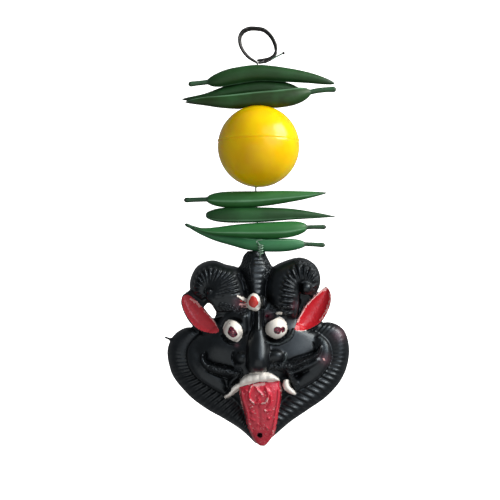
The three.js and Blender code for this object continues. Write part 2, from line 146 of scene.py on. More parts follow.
# Matt white paper. It glows from a little behind the charm on, as a backlit sheet does.
paper, tree = new_material("white_paper")
place = add(tree, "ShaderNodeTexCoord")
axes = add(tree, "ShaderNodeSeparateXYZ", {"Vector": place.outputs["Object"]})
glow = add(tree, "ShaderNodeMapRange", {
    "Value": axes.outputs["Y"],
    "From Min": GLOW_FROM,
    "From Max": GLOW_FULL,
})
surface = add(tree, "ShaderNodeBsdfPrincipled", {
    "Base Color": linear("#f4f4f2"),
    "Roughness": 0.9,
    "Emission Color": (1, 1, 1, 1),
    "Emission Strength": glow.outputs["Result"],
})
add(tree, "ShaderNodeOutputMaterial", {"Surface": surface.outputs["BSDF"]})
sweep.data.materials.append(paper)

# The charm is neither lit by it nor mirrors it.
sweep.visible_glossy = False
sweep.visible_diffuse = False


# Light
# A window up to the right and a little in front, which the ball mirrors in its upper right, a wide
# weaker light from the front right, and what a white table in front throws back.
CHARM_MIDDLE = Vector((0, 0, -120)) * MM


def area_light(name, direction, away, size, power, colour):
    """A soft rectangular light that faces the charm."""
    place = CHARM_MIDDLE + Vector(direction).normalized() * away
    turn = (place - CHARM_MIDDLE).to_track_quat("Z", "Y").to_euler()
    bpy.ops.object.light_add(type="AREA", location=place, rotation=turn)
    lamp = bpy.context.object
    lamp.name = name
    lamp.data.shape = "RECTANGLE"
    lamp.data.size, lamp.data.size_y = size
    lamp.data.energy = power
    lamp.data.color = linear(colour)[:3]


area_light("window", (0.78, -0.22, 0.58), away=1.0, size=(0.52, 0.5), power=12, colour="#fffaf2")
area_light("front_fill", (0.6, -0.66, 0.44), away=1.4, size=(1.3, 1.3), power=14, colour="#f4f9ff")
area_light("table_bounce", (0.1, -0.8, -0.55), away=1.5, size=(2.6, 2), power=18, colour="#fff8f0")
scene.world = bpy.data.worlds.new("studio")
scene.world.use_nodes = True
background = scene.world.node_tree.nodes["Background"]
background.inputs["Color"].default_value = linear("#e9edf0")
background.inputs["Strength"].default_value = 0.28


# Wire
# One soft black annealed steel wire, 1.25 mm thick. It is wound twice round into the hanging ring, its
# end left sticking out at the right. A thinner bright wire ties the mask on through its crest and is
# wound round itself above it.
WIRE = 1.25
THIN_WIRE = 0.75  # the end that sticks out, and the run down through the charm
HOOK_WIRE = 0.625  # the bright wire
CUT_END = 0.72  # how thick a wire is at its cut ends, as a share
RING_FRONT = [
    [0.2, -0.2, -16.5], [-4.7, -0.7, -13.6], [-7.8, -0.8, -9.5], [-8.9, -0.8, -5.9], [-8.6, -0.7, -2.7],
    [-6.8, -0.5, -0.2], [-4, -0.4, 1], [-0.9, -0.2, 1.1], [3.5, 0.1, 0.4], [7, 0.3, -2.6],
    [9.1, 0.3, -6.4], [9.6, 0.2, -9.4], [8.7, 0.2, -12.1], [6.4, 0.3, -13.9], [3.4, 0.3, -14.7],
    [0, 0.2, -15.2],
]
RING_BACK = [
    [-0.3, 0.9, -16], [-4.4, 0.6, -13.1], [-7.3, 0.4, -9.3], [-8.3, 0.4, -5.9], [-8, 0.5, -3],
    [-6.2, 0.8, -0.8], [-3.8, 1, 0.3], [-0.9, 1.1, 0.5], [3.2, 1.2, -0.2], [6.5, 1.2, -2.9],
    [8.6, 1.2, -6.6], [9.3, 1, -9.6], [9.3, 0.8, -11.9], [7.7, 0.6, -14], [5.3, 0.4, -15.4],
    [3, 0.2, -16.1], [0.6, -0.4, -16.5],
]
TAIL = [
    [3.8, 0.9, -16.3], [7.6, 0.3, -14.5], [10.4, -0.2, -13], [13.2, -0.6, -11.7],
]
THREAD = [
    [0.15, 0, -16.4], [0.1, -0.3, -21.9], [0, 0.6, -26], [0, 1.5, -29.2], [0.1, 0, -31.6],
    [0.2, -1.3, -34.4], [0.3, -0.2, -38.4], [0, 0, -58], [-0.6, 0, -79.5], [-0.4, 0, -84.4],
    [0, 0, -92.4], [0.3, 0.2, -100.4], [0.6, 0.9, -107.6], [0.7, 2.2, -112.4],
]
HOOK = [
    [0.7, 2.2, -112.4], [0.8, 2.2, -114], [1, 0.4, -114.9], [1.2, -2.6, -114.2], [1.5, -4.8, -112.6],
]
COIL_TURNS = 4
COIL_AT = [1.7, -4.3, -111.8]
COIL_TALL = 5
COIL_WIDE = 1.2
COIL_DEEP = 0.8
for eighth in range(8 * COIL_TURNS):
    turn = math.pi / 4 * eighth
    rise = COIL_TALL * eighth / (8 * COIL_TURNS)
    HOOK.append([
        COIL_AT[0] + COIL_WIDE * math.sin(turn),
        COIL_AT[1] - COIL_DEEP * math.cos(turn),
        COIL_AT[2] + rise,
    ])
HOOK += [[0.4, -4.4, -106.4], [-0.4, -4.4, -106], [0.6, -4.6, -105.2], [2.6, -4.8, -104.9]]


def spline(points, places):
    """Points of a smooth curve through the given ones, at places from 0 to 1 counted by the points."""
    points = np.array(points, float)
    padded = np.vstack([2 * points[0] - points[1], points, 2 * points[-1] - points[-2]])
    place = np.asarray(places, float) * (len(points) - 1)
    i = np.clip(place.astype(int), 0, len(points) - 2)
    t = (place - i)[..., None]
    p0, p1, p2, p3 = (padded[i + k] for k in range(4))
    square = (2 * p0 - 5 * p1 + 4 * p2 - p3) * t**2
    return 0.5 * (2 * p1 + (p2 - p0) * t + square + (3 * p1 - p0 - 3 * p2 + p3) * t**3)


def measured(points):
    """Many places on that curve, and how far along it each of them lies."""
    fine = np.linspace(0, 1, 400)
    steps = np.linalg.norm(np.diff(spline(points, fine), axis=0), axis=1)
    return fine, np.concatenate([[0], np.cumsum(steps)])


def even_places(points, shares):
    """The places on that curve at shares from 0 to 1 of its length."""
    fine, length = measured(points)
    return np.interp(shares, length / length[-1], fine)


def wire_along(name, points, thickness, steps):
    """A bent wire with rounded ends along a smooth curve through the points, as a mesh."""
    route = spline(points, even_places(points, np.linspace(0, 1, steps)))
    curve = bpy.data.curves.new(name, "CURVE")
    curve.dimensions = "3D"
    curve.bevel_depth = thickness / 2 * MM
    curve.bevel_resolution = 4
    curve.use_fill_caps = True
    line = curve.splines.new("POLY")
    line.points.add(steps - 1)
    for i, (point, at) in enumerate(zip(line.points, route)):
        point.co = (*(at * MM), 1)
        point.radius = CUT_END if i in (0, steps - 1) else 1
    made = bpy.data.objects.new(name, curve)
    scene.collection.objects.link(made)
    pick(made)
    bpy.ops.object.convert(target="MESH")
    return made


def joined(name, pieces):
    """Joins objects into the first one and names it."""
    pick(*pieces)
    bpy.ops.object.join()
    pieces[0].name = name
    return pieces[0]


TAIL_BLOB = 0.7
bpy.ops.mesh.primitive_uv_sphere_add(
    segments=16, ring_count=10, radius=TAIL_BLOB * MM, location=Vector(TAIL[-1]) * MM
)
blob = placed(bpy.context.object)
strands = [
    wire_along("ring_front", RING_FRONT, WIRE, steps=90),
    wire_along("ring_back", RING_BACK, WIRE, steps=90),
    wire_along("tail", TAIL, THIN_WIRE, steps=36),
    wire_along("thread", THREAD, THIN_WIRE, steps=90),
    wire_along("hook", HOOK, HOOK_WIRE, steps=150),
    blob,
]
SCRATCH = 1.111  # the scratches' size, coarser than real ones, which are too fine to show


def drawn_steel(name, skin, scratched, metallic):
    """Drawn steel wire: its skin with lighter scratches from the bending, which break up its shine."""
    made, tree = new_material(name)
    place = add(tree, "ShaderNodeTexCoord")
    scratches = add(tree, "ShaderNodeTexNoise", {
        "Vector": place.outputs["Object"],
        "Scale": 1 / (SCRATCH * MM),
        "Detail": 5,
        "Roughness": 0.7,
    })
    stops = ((0.55, skin), (0.75, scratched))
    bare = add(tree, "ShaderNodeValToRGB", {"Fac": scratches.outputs["Fac"]}, stops)
    bumps = add(tree, "ShaderNodeBump", {
        "Height": scratches.outputs["Fac"],
        "Strength": 0.25,
        "Distance": 0.1 * MM,
    })
    surface = add(tree, "ShaderNodeBsdfPrincipled", {
        "Base Color": bare.outputs["Color"],
        "Metallic": metallic,
        "Roughness": 0.45,
        "Normal": bumps.outputs["Normal"],
    })
    add(tree, "ShaderNodeOutputMaterial", {"Surface": surface.outputs["BSDF"]})
    return made


annealed = drawn_steel("black_annealed_steel", "#181716", "#6b6762", 0.3)
# The bright wire's green tint is a painted reflection of the green chillies round it.
galvanised = drawn_steel("galvanised_steel", "#74917d", "#bccfc2", 0.5)
for strand in strands:
    strand.data.materials.append(galvanised if strand.name in ("tail", "hook") else annealed)
wire = joined("hanging_wire", strands)
bpy.ops.object.shade_smooth()
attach(wire, "root")
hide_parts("wire")


# Chillies
# Seven green chillies moulded in soft polyethylene, each in one piece with its stem, and each with the
# fine raised line of its mould along both sides. The wire goes through their middles, and the third is
# pressed on the lemon below it.
LEMON = 20.4  # the lemon's radius
LEMON_AT = Vector((0.75, 0, -58.2))
POD_SIDES = 64
POD_RINGS = 84
STEM_FROM = 0.72  # the share of a pod's rings that shape the fruit; the rest shape the stem
FULLEST = 0.76  # where along the fruit it is thickest
SHOULDER = 0.45  # how thick its neck is, as a share
MOULD_LINE = 0.1  # how far the mould's line stands out, as a share
PRESSED_GAP = 0.15  # how far the pressed one stays off the lemon's skin

# girth, point and stem are radii: the fruit's thickest, its tip's and the stem's. A smaller taper keeps
# the fruit thick for longer. neck is the point of the line where the stem starts, and seam is the
# angle of the mould's line above the front, in radians.
# green is each chilli's colour, set to how light it looks where it hangs: painted shade makes the upper
# three and the fifth darker, and the third's olive is a painted reflection of the lemon under it.
CHILLIES = [
    {
        "girth": 4.1, "taper": 0.5, "point": 0.5, "neck": 6, "stem": 1.2, "seam": -1.35,
        "green": "#183f17",
        "line": [
            [38.7, -1.2, -27], [26.5, -0.8, -24.2], [13, -0.5, -22.4], [0, -0.4, -21.6],
            [-12, -0.5, -23.3], [-19.3, -0.7, -25.2], [-23.8, -0.8, -26.1], [-34.3, -1.2, -27.4],
        ],
    },
    {
        "girth": 4.0, "taper": 0.65, "point": 0.5, "neck": 5, "stem": 1.2, "seam": 1.3,
        "green": "#163a16",
        "line": [
            [-37.8, 2.8, -34.2], [-26, 2.8, -33.5], [-14, 2.7, -30.6], [0, 2.6, -28.8],
            [12, 2.7, -29.4], [21.5, 2.6, -31], [25, 2.4, -31.9],
        ],
    },
    {
        "girth": 4.5, "taper": 0.65, "point": 0.5, "neck": 8, "stem": 1.3, "seam": 0.8,
        "green": "#19340b",
        "line": [
            [-36, -1.8, -36.4], [-27, -2.2, -36], [-18, -2.7, -36.3], [-9.5, -3, -36.2],
            [0, -3.1, -35.6], [9, -3, -35], [16, -2.7, -34.1], [21, -2.3, -32.9], [25.6, -2, -31.6],
            [32, -1.8, -30.4], [39.5, -1.6, -29.9],
        ],
    },
    {
        "girth": 4.15, "taper": 0.75, "point": 0.3, "neck": 5, "stem": 1.15, "seam": -0.25,
        "green": "#265f29",
        "line": [
            [35.2, -0.4, -81.4], [24, -0.2, -82.6], [13.2, 0, -83.5], [0, 0, -84.5], [-13.9, 0, -84.8],
            [-24.3, -0.2, -84.7], [-36.6, -0.4, -85.1],
        ],
    },
    {
        "girth": 3.98, "taper": 0.85, "point": 0.3, "neck": 5, "stem": 1.2, "seam": -0.8,
        "green": "#17421c",
        "line": [
            [39.5, 0.4, -93.3], [31.6, 0.3, -92.8], [17, 0.1, -92.1], [0, 0, -92.4], [-13, 0, -92.5],
            [-24.5, 0.1, -92.6], [-25.3, 0.1, -92.6],
        ],
    },
    {
        "girth": 4.22, "taper": 0.85, "point": 0.6, "neck": 6, "stem": 1.05, "seam": -0.3,
        "green": "#26642f",
        "line": [
            [-32.6, -0.8, -98.7], [-26, -0.7, -100.2], [-20, -0.6, -100.6], [-10, -0.4, -100.4],
            [0, -0.2, -100.3], [13.2, -0.2, -99.9], [24.2, -0.3, -98.7], [34.6, -0.5, -98.5],
        ],
    },
    {
        "girth": 3.35, "taper": 0.6, "point": 0.9, "neck": 6, "stem": 1.05, "seam": 0.8,
        "green": "#336f47",
        "line": [
            [-36.4, 2.6, -96.9], [-29, 3.1, -100.2], [-21, 3.5, -103], [-12, 3, -105.1],
            [-2, 0.9, -107.2], [11, 0.3, -107.6], [23.3, 0, -107.1], [34.1, -0.2, -107.6],
        ],
    },
]


def get_points(obj):
    """The vertices of a mesh in millimetres."""
    points = np.empty(len(obj.data.vertices) * 3)
    obj.data.vertices.foreach_get("co", points)
    return points.reshape(-1, 3) / MM


def set_points(obj, points):
    """Moves the vertices of a mesh to points in millimetres."""
    obj.data.vertices.foreach_set("co", (points * MM).ravel())
    obj.data.update()


def keep(obj, name, values):
    """Keeps a value at each vertex of a mesh, which its material reads."""
    obj.data.attributes.new(name, "FLOAT", "POINT").data.foreach_set("value", values)


def pod_radius(share, girth, taper, point):
    """The radius of the fruit at shares from 0 at its tip to 1 at its neck."""
    slim = girth * np.sin(math.pi / 2 * np.clip(share / FULLEST, 0, 1)) ** taper
    slim = np.maximum(slim, point * np.sqrt(np.clip(share / 0.02, 0, 1)))
    past = np.clip((share - FULLEST) / (1 - FULLEST), 0, 1)
    return np.where(share < FULLEST, slim, girth * np.sqrt(1 - past**2.6 * (1 - SHOULDER**2)))


def stem_radius(from_neck, to_end, stem, shoulder):
    """The stem's radius: it widens to the neck, and its end is a little thicker and rounded."""
    collar = (shoulder - stem) * np.exp(-((from_neck / 0.5) ** 2))
    thick_end = 0.1 * np.exp(-((to_end - 1.6) ** 2) / 4)
    round_end = np.sqrt(np.clip(1 - (1 - np.clip(to_end / 1.2, 0, 1)) ** 2, 0.02, 1))
    return (stem + collar + thick_end) * round_end


def round_line(line, place, radius, angle):
    """Points round a curved line: angle 0 faces the front, and a right angle is its upper side."""
    ahead = spline(line, np.clip(place + 1e-3, 0, 1)) - spline(line, np.clip(place - 1e-3, 0, 1))
    ahead /= np.linalg.norm(ahead, axis=1)[:, None]
    up = np.cross(ahead, [0, -1, 0])
    up *= np.sign(up[:, 2:]) / np.linalg.norm(up, axis=1)[:, None]
    front = np.array([0, -1, 0]) + ahead * ahead[:, 1:2]
    front /= np.linalg.norm(front, axis=1)[:, None]
    forward = front * (radius * np.cos(angle))[:, None]
    return spline(line, place) + forward + up * (radius * np.sin(angle))[:, None]


def chilli(name, line, girth, taper, point, neck, stem, seam):
    """A cylinder with many rings, turned to a chilli's profile and bent along its line."""
    bpy.ops.mesh.primitive_cylinder_add(
        vertices=POD_SIDES, radius=MM, depth=MM, end_fill_type="TRIFAN"
    )
    made = bpy.context.object
    made.name = name
    bpy.ops.object.mode_set(mode="EDIT")
    select(made, "edges", lambda middle: abs(middle.z) < 0.1 * MM and middle.xy.length > 0.5 * MM)
    bpy.ops.mesh.subdivide(number_cuts=POD_RINGS)
    bpy.ops.object.mode_set(mode="OBJECT")
    points = get_points(made)
    ring = points[:, 2] + 0.5
    angle = np.arctan2(points[:, 1], points[:, 0])
    centre = np.hypot(points[:, 0], points[:, 1]) < 0.5
    fine, run = measured(line)
    pod_end = np.interp(neck / (len(line) - 1), fine, run) / run[-1]
    on_pod = np.clip(ring / STEM_FROM, 0, 1)
    on_pod = (1 - np.cos(math.pi * on_pod)) / 4 + on_pod / 2
    on_stem = np.clip((ring - STEM_FROM) / (1 - STEM_FROM), 0, 1)
    share = np.where(ring < STEM_FROM, on_pod * pod_end, pod_end + on_stem * (1 - pod_end))
    stem_long = (1 - pod_end) * run[-1]
    thin = stem_radius(on_stem * stem_long, (1 - on_stem) * stem_long, stem, girth * SHOULDER)
    radius = np.where(ring < STEM_FROM, pod_radius(on_pod, girth, taper, point), thin)
    radius = np.where(centre, 0, radius)
    from_line = np.abs(np.arcsin(np.sin(angle - seam)))
    radius *= 1 + MOULD_LINE * np.exp(-from_line / 0.2) * np.clip(radius / girth, 0, 1)
    set_points(made, round_line(line, even_places(line, share), radius, angle))
    keep(made, "along", np.where(ring < STEM_FROM, on_pod, 1 + on_stem) / 2)
    # Where the painted highlight along the mould's raised line lies.
    keep(made, "mould_line", np.exp(-((from_line / 0.1) ** 2)) * (ring < STEM_FROM))
    bpy.ops.object.mode_set(mode="EDIT")
    bpy.ops.mesh.select_all(action="SELECT")
    bpy.ops.mesh.remove_doubles(threshold=0.001 * MM)
    bpy.ops.mesh.normals_make_consistent(inside=False)
    bpy.ops.object.mode_set(mode="OBJECT")
    bpy.ops.object.shade_smooth()
    return made


# The patterns' sizes.
CLOUD = 11.11  # from one cloud in the plastic to the next
SKIN = 1.4286  # the size of the skin's dimples, coarser than real ones, which are too fine to show


def chilli_plastic(name, green):
    """Moulded polyethylene in chilli green: satin, with paler clouds in it, dark at the tip and the
    stem, and with a painted highlight along the mould's raised line."""
    made, tree = new_material(name)
    place = add(tree, "ShaderNodeTexCoord")
    cloud = add(tree, "ShaderNodeTexNoise", {
        "Vector": place.outputs["Object"],
        "Scale": 1 / (CLOUD * MM),
        "Detail": 3,
    })
    along = add(tree, "ShaderNodeAttribute", attribute_name="along")
    tip = ((0.0, "#1c2420"), (0.055, green), (0.49, green))
    stem = ((0.52, "#27452e"), (0.9, "#2c4f34"), (1.0, "#20251f"))
    ends = add(tree, "ShaderNodeValToRGB", {"Fac": along.outputs["Fac"]}, tip + stem)
    cloudy = add(tree, "ShaderNodeMapRange", {
        "Value": cloud.outputs["Fac"],
        "From Min": 0.45,
        "From Max": 0.8,
        "To Max": 0.25,
    })
    clouded = add(tree, "ShaderNodeMix", {
        0: cloudy.outputs["Result"],
        6: ends.outputs["Color"],
        7: linear("#3b8047"),
    }, data_type="RGBA")
    line_mark = add(tree, "ShaderNodeAttribute", attribute_name="mould_line")
    # A painted highlight along the mould's raised line, broken up by the clouds.
    painted_ridge_highlight = add(tree, "ShaderNodeMath", {
        0: line_mark.outputs["Fac"],
        1: cloud.outputs["Fac"],
    }, operation="MULTIPLY")
    lined = add(tree, "ShaderNodeMix", {
        0: painted_ridge_highlight.outputs["Value"],
        6: clouded.outputs[2],
        7: linear("#7fb08a"),
    }, data_type="RGBA")
    skin = add(tree, "ShaderNodeTexNoise", {
        "Vector": place.outputs["Object"],
        "Scale": 1 / (SKIN * MM),
        "Detail": 2,
    })
    dimples = add(tree, "ShaderNodeBump", {
        "Height": skin.outputs["Fac"],
        "Strength": 0.12,
        "Distance": 0.2 * MM,
    })
    surface = add(tree, "ShaderNodeBsdfPrincipled", {
        "Base Color": lined.outputs[2],
        "Roughness": 0.5,
        "IOR": 1.4,
        "Normal": dimples.outputs["Normal"],
    })
    add(tree, "ShaderNodeOutputMaterial", {"Surface": surface.outputs["BSDF"]})
    return made


def pressed(obj, middle, radius):
    """Moves the points of a soft piece that lie inside a ball straight up to the ball's skin."""
    points = get_points(obj)
    offset = points - np.array(middle)
    within = np.linalg.norm(offset, axis=1) < radius
    points[within, 2] = middle[2] + np.sqrt(radius**2 - (offset[within, :2] ** 2).sum(1))
    set_points(obj, points)


for number, one in enumerate(CHILLIES, 1):
    shape = {key: value for key, value in one.items() if key != "green"}
    pod = chilli(f"green_chilli_{number}", **shape)
    pressed(pod, LEMON_AT, LEMON + PRESSED_GAP)
    # Each chilli gets its own copy of the plastic, in a green that holds its painted light and shade.
    pod.data.materials.append(chilli_plastic(f"green_polyethylene_{number}", one["green"]))
    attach(pod, "root")
    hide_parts(f"chilli_{number}")


# Lemon
# A ball of thin glossy yellow plastic, moulded as two halves that snap together a little above its
# middle. The upper half's edge stands out over the lower half by a hair.
SEAM = 2.4  # how far above the middle the halves meet
LIP = 0.12
LIP_LEVELS = [-1.2, -0.6, -0.3, -0.1, 0.1, 0.35, 0.7, 1.4]  # heights above the seam
LIP_STEPS = [0, -0.5, -1, -1, 1, 2, 1.2, 0]  # how many lips the ball stands out there
NUB = 0.8
NUB_LONG = 2.4
NUB_AT = LEMON_AT + Vector((-1.15, 0, 1.1 - LEMON))
bpy.ops.mesh.primitive_uv_sphere_add(segments=96, ring_count=64, radius=LEMON * MM)
lemon = bpy.context.object
bpy.ops.object.mode_set(mode="EDIT")
for level in LIP_LEVELS:
    bpy.ops.mesh.select_all(action="SELECT")
    bpy.ops.mesh.bisect(plane_co=(0, 0, (SEAM + level) * MM), plane_no=(0, 0, 1))
bpy.ops.object.mode_set(mode="OBJECT")
points = get_points(lemon)
proud = LIP * np.interp(points[:, 2] - SEAM, LIP_LEVELS, LIP_STEPS)
points *= (1 + proud / LEMON)[:, None]
set_points(lemon, points)
lemon.location = LEMON_AT * MM
placed(lemon)
bpy.ops.object.shade_smooth()

# The wire leaves it through a short nub, most of which is inside.
bpy.ops.mesh.primitive_cylinder_add(
    vertices=24, radius=NUB * MM, depth=NUB_LONG * MM, location=NUB_AT * MM
)
nub = placed(bpy.context.object)
lemon = joined("yellow_lemon", [lemon, nub])
bpy.ops.object.shade_smooth_by_angle(angle=math.radians(40))

# Polystyrene dyed lemon yellow: glossy, with a soft glow inside and the faint waviness of a thin
# moulding.
WAVE = 11.11  # from one wave to the next
yellow, tree = new_material("lemon_polystyrene")
place = add(tree, "ShaderNodeTexCoord")
wave = add(tree, "ShaderNodeTexNoise", {
    "Vector": place.outputs["Object"],
    "Scale": 1 / (WAVE * MM),
    "Detail": 2,
})
waviness = add(tree, "ShaderNodeBump", {
    "Height": wave.outputs["Fac"],
    "Strength": 0.25,
    "Distance": 0.5 * MM,
})
stops = ((0.3, "#e2b600"), (0.7, "#ecca00"))
dye = add(tree, "ShaderNodeValToRGB", {"Fac": wave.outputs["Fac"]}, stops)
surface = add(tree, "ShaderNodeBsdfPrincipled", {
    "Base Color": dye.outputs["Color"],
    "Subsurface Weight": 0.85,
    "Subsurface Radius": (1, 0.5, 0.02),
    "Subsurface Scale": 15 * MM,
    "Roughness": 0.21,
    "IOR": 1.34,
    "Normal": waviness.outputs["Normal"],
})
add(tree, "ShaderNodeOutputMaterial", {"Surface": surface.outputs["BSDF"]})
lemon.data.materials.append(yellow)
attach(lemon, "root")
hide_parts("lemon")


# Mask
# One black plastic shell, slush moulded in a soft mould, open at the back and painted by hand in red and
# white enamel. Its forms are built in relief on the flat of the back, fused, carved with fine strokes
# and hollowed to the wall's thickness.
RIM = 7.0  # how far behind the middle the flat back edge lies
WALL = 2.2
GRAIN = 0.47  # the size of the fused mesh's faces
THINNEST = 0.5  # how thick a form stays at least
PAST_RIM = 1  # how far the forms reach behind the back edge
PAST_RIM_HOLLOW = 3  # the same for the forms of the hollow


def arch(edge, power):
    """A section that rises from a low edge to the full height in the middle. Every section gives the
    height at shares u across a form and place along it, from the height of its crest there."""
    return lambda u, place, crest, x, z: crest * (
        edge + (1 - edge) * (1 - np.abs(2 * u - 1) ** power) ** (1 / power)
    )


def relief(name, stations, section, across, along, inset=0):
    """A grid shaped between two edges and closed at the back. Each station is [ax, az, bx, bz,
    height]: a and b are the edges, and the height is how far the middle stands off the back. An
    inset gives the form one wall smaller."""
    bpy.ops.mesh.primitive_grid_add(x_subdivisions=across, y_subdivisions=along, size=MM)
    made = bpy.context.object
    made.name = name
    grid = get_points(made)
    share = grid[:, 1] + 0.5
    rows = np.array(stations, float)
    edge_b = rows[:, [2, 3]]
    trim = inset / np.linalg.norm(np.diff(edge_b, axis=0), axis=1).sum()
    place = even_places(edge_b, trim + share * (1 - 2 * trim))
    at = spline(rows, place)
    width = np.hypot(at[:, 2] - at[:, 0], at[:, 3] - at[:, 1])
    gap = np.minimum(inset, 0.49 * width) / np.maximum(width, 1e-6)
    swung = (1 - np.cos(math.pi * (grid[:, 0] + 0.5))) / 2
    u = gap + (1 - 2 * gap) * swung
    x = at[:, 0] + (at[:, 2] - at[:, 0]) * u
    z = at[:, 1] + (at[:, 3] - at[:, 1]) * u
    height = section(swung if inset else u, place, at[:, 4], x, z) - inset
    back = -PAST_RIM_HOLLOW if inset else -PAST_RIM
    front = np.maximum(height, back + THINNEST)
    set_points(made, np.stack([x, RIM - front, z], 1))
    bpy.ops.object.mode_set(mode="EDIT")
    bpy.ops.mesh.select_all(action="SELECT")
    bpy.ops.mesh.extrude_region_move(TRANSFORM_OT_translate={"value": (0, 0, 0)})
    bpy.ops.transform.resize(value=(1, 0, 1), center_override=(0, (RIM - back) * MM, 0))
    bpy.ops.mesh.select_all(action="SELECT")
    bpy.ops.mesh.normals_make_consistent(inside=False)
    bpy.ops.object.mode_set(mode="OBJECT")
    return made


def lump(name, x, z, width, tall, top, depth, turned=0):
    """A rounded lump whose front stands at the height top."""
    bpy.ops.mesh.primitive_uv_sphere_add(segments=40, ring_count=24, radius=MM)
    made = bpy.context.object
    made.name = name
    made.scale = (width / 2, depth, tall / 2)
    made.rotation_euler = (0, turned, 0)
    made.location = Vector((x, RIM - top + depth, z)) * MM
    return placed(made)


def band(points):
    """Stations of a form along a middle line of points [x, z, width, height]."""
    middle = np.array(points, float)
    ahead = np.gradient(middle[:, :2], axis=0)
    ahead /= np.linalg.norm(ahead, axis=1)[:, None]
    half = middle[:, 2:3] / 2
    side = np.stack([-ahead[:, 1], ahead[:, 0]], 1) * half
    return np.hstack([middle[:, :2] + side, middle[:, :2] - side, middle[:, 3:4]])


def ribs(phase, sharpness=0.75):
    """Rounded ridges with narrow grooves between them, from -0.5 to 0.5."""
    return np.abs(np.sin(math.pi * phase)) ** sharpness - 0.5


def fade(value, start, end):
    """A smooth step from 0 at start to 1 at end."""
    t = np.clip((value - start) / (end - start), 0, 1)
    return t * t * (3 - 2 * t)


def hump(x, z, at_x, at_z, wide, tall):
    """A soft round hill, 1 at its top."""
    return np.exp(-(((x - at_x) / wide) ** 2) - ((z - at_z) / tall) ** 2)


# The mane is a ruff of pleats in a heart shape behind the face.
MANE_RIGHT = [
    [25, -150, 29, -146.8, 7], [30, -154, 37, -146.2, 8], [33.5, -157.6, 43.4, -150, 8.5],
    [35.2, -160.4, 46, -158, 9], [34.8, -165.2, 45.4, -166.6, 9], [30, -169.8, 42, -175, 9],
    [22.5, -176.4, 35, -183.1, 9], [13.5, -183.8, 25.6, -189.8, 9], [7, -190.4, 16.6, -196, 9],
    [3, -199, 8.4, -203, 8.5], [1.5, -204, 2, -207.6, 7],
]
MANE_LEFT = [
    [-25, -153, -28.5, -149, 7], [-29.6, -155.4, -35.6, -148.8, 8], [-32, -158.4, -41.6, -152.6, 8.5],
    [-33, -161.6, -44.7, -159.5, 9], [-32, -166.6, -43.9, -167.7, 9], [-28, -171, -41, -174.6, 9],
    [-21, -175.8, -33.4, -183.3, 9], [-13.5, -180.8, -25, -189.6, 9], [-7.8, -186.4, -16.8, -194.2, 9],
    [-4.5, -195, -8, -199.9, 8.5], [-1, -203, -0.6, -206.8, 7],
]
MANE_PLEATS = 34
PLEAT = 1.7


def mane_section(u, place, crest, x, z):
    """Falls to a lip at the outline. The pleats lean over, and are flatter at the sides, where the
    mask has been smoothed by use."""
    depth = PLEAT * (0.1 + 0.9 * fade(place, 0.28, 0.52) + 0.5 * fade(0.16 - place, 0, 0.08))
    phase = MANE_PLEATS * place
    phase = phase - 0.1 * np.sign(x) * (1 - np.cos(2 * math.pi * phase))
    pleats = depth * ribs(phase, 0.95) * fade(u, 0.05, 0.25) * (1 - fade(u, 0.94, 1.0))
    return crest * (0.86 + 0.3 * u - 0.78 * u**4.5) + pleats


# The face is one shield of brows, cheeks, muzzle and chin, with the balls of the eyes set in it.
FACE = [
    [-17, -136, 17, -136, 15], [-20.5, -143, 20.5, -143, 17], [-23, -149, 24.5, -148.5, 17.5],
    [-31, -153.6, 32.5, -152.6, 17], [-35.2, -160.5, 37.4, -160, 17], [-34, -167.4, 36.2, -167, 17],
    [-27, -174, 27.6, -174, 16.5], [-16.6, -180.4, 18.4, -180.4, 15], [-8.7, -187.4, 10.6, -187.4, 13],
    [-5, -194, 6.4, -194, 11],
]
EYES = [
    {"x": -12.1, "z": -150.5, "width": 9.6, "tall": 11.4, "top": 23, "depth": 6, "turned": 0.45},
    {"x": 9.5, "z": -149.2, "width": 10.9, "tall": 11.2, "top": 23.5, "depth": 6.2, "turned": 0.3},
]


def face_section(u, place, crest, x, z):
    """One smooth shield with brows, cheeks and muzzle, sunk at the eyes and the mouth's corners."""
    round_off = (1 - np.abs(2 * u - 1) ** 2.4) ** 0.55
    foot = 6.5
    height = foot + (crest - foot) * round_off
    height += 2.4 * hump(x, z, 19, -163.5, 10, 8) + 2.4 * hump(x, z, -22, -158.5, 10, 8)
    for side in (-1, 1):
        height += 2 * hump(x, z, side * 12, -142.5, 9, 4) * round_off
    height -= 1.8 * hump(x, z, 21, -172.6, 4, 2.6) + 2.2 * hump(x, z, -16.4, -176, 4, 3)
    for eye in EYES:
        height -= 1 * hump(x, z, eye["x"], eye["z"], 6.6, 6.6)
    return height + 4 * hump(x, z, 1, -166, 12, 9)


NOSE = [
    [-0.8, -139, 2.2, -139, 18.5], [-1.6, -146, 3.2, -146, 20.5], [-3.3, -151, 4.5, -151, 22.8],
    [-4.5, -155.5, 5.6, -155.5, 25.4], [-5.1, -160.5, 6.3, -160.5, 27.8], [-5.1, -165, 6.3, -165, 29.4],
    [-4.9, -168.4, 6, -168.4, 28.6], [-3.4, -170.8, 4.8, -170.8, 26],
]
WINGS = [
    {"x": -7.8, "z": -164, "width": 7, "tall": 7, "top": 21.6, "depth": 4},
    {"x": 9.2, "z": -163.2, "width": 8.6, "tall": 6.4, "top": 23.8, "depth": 3.4},
]

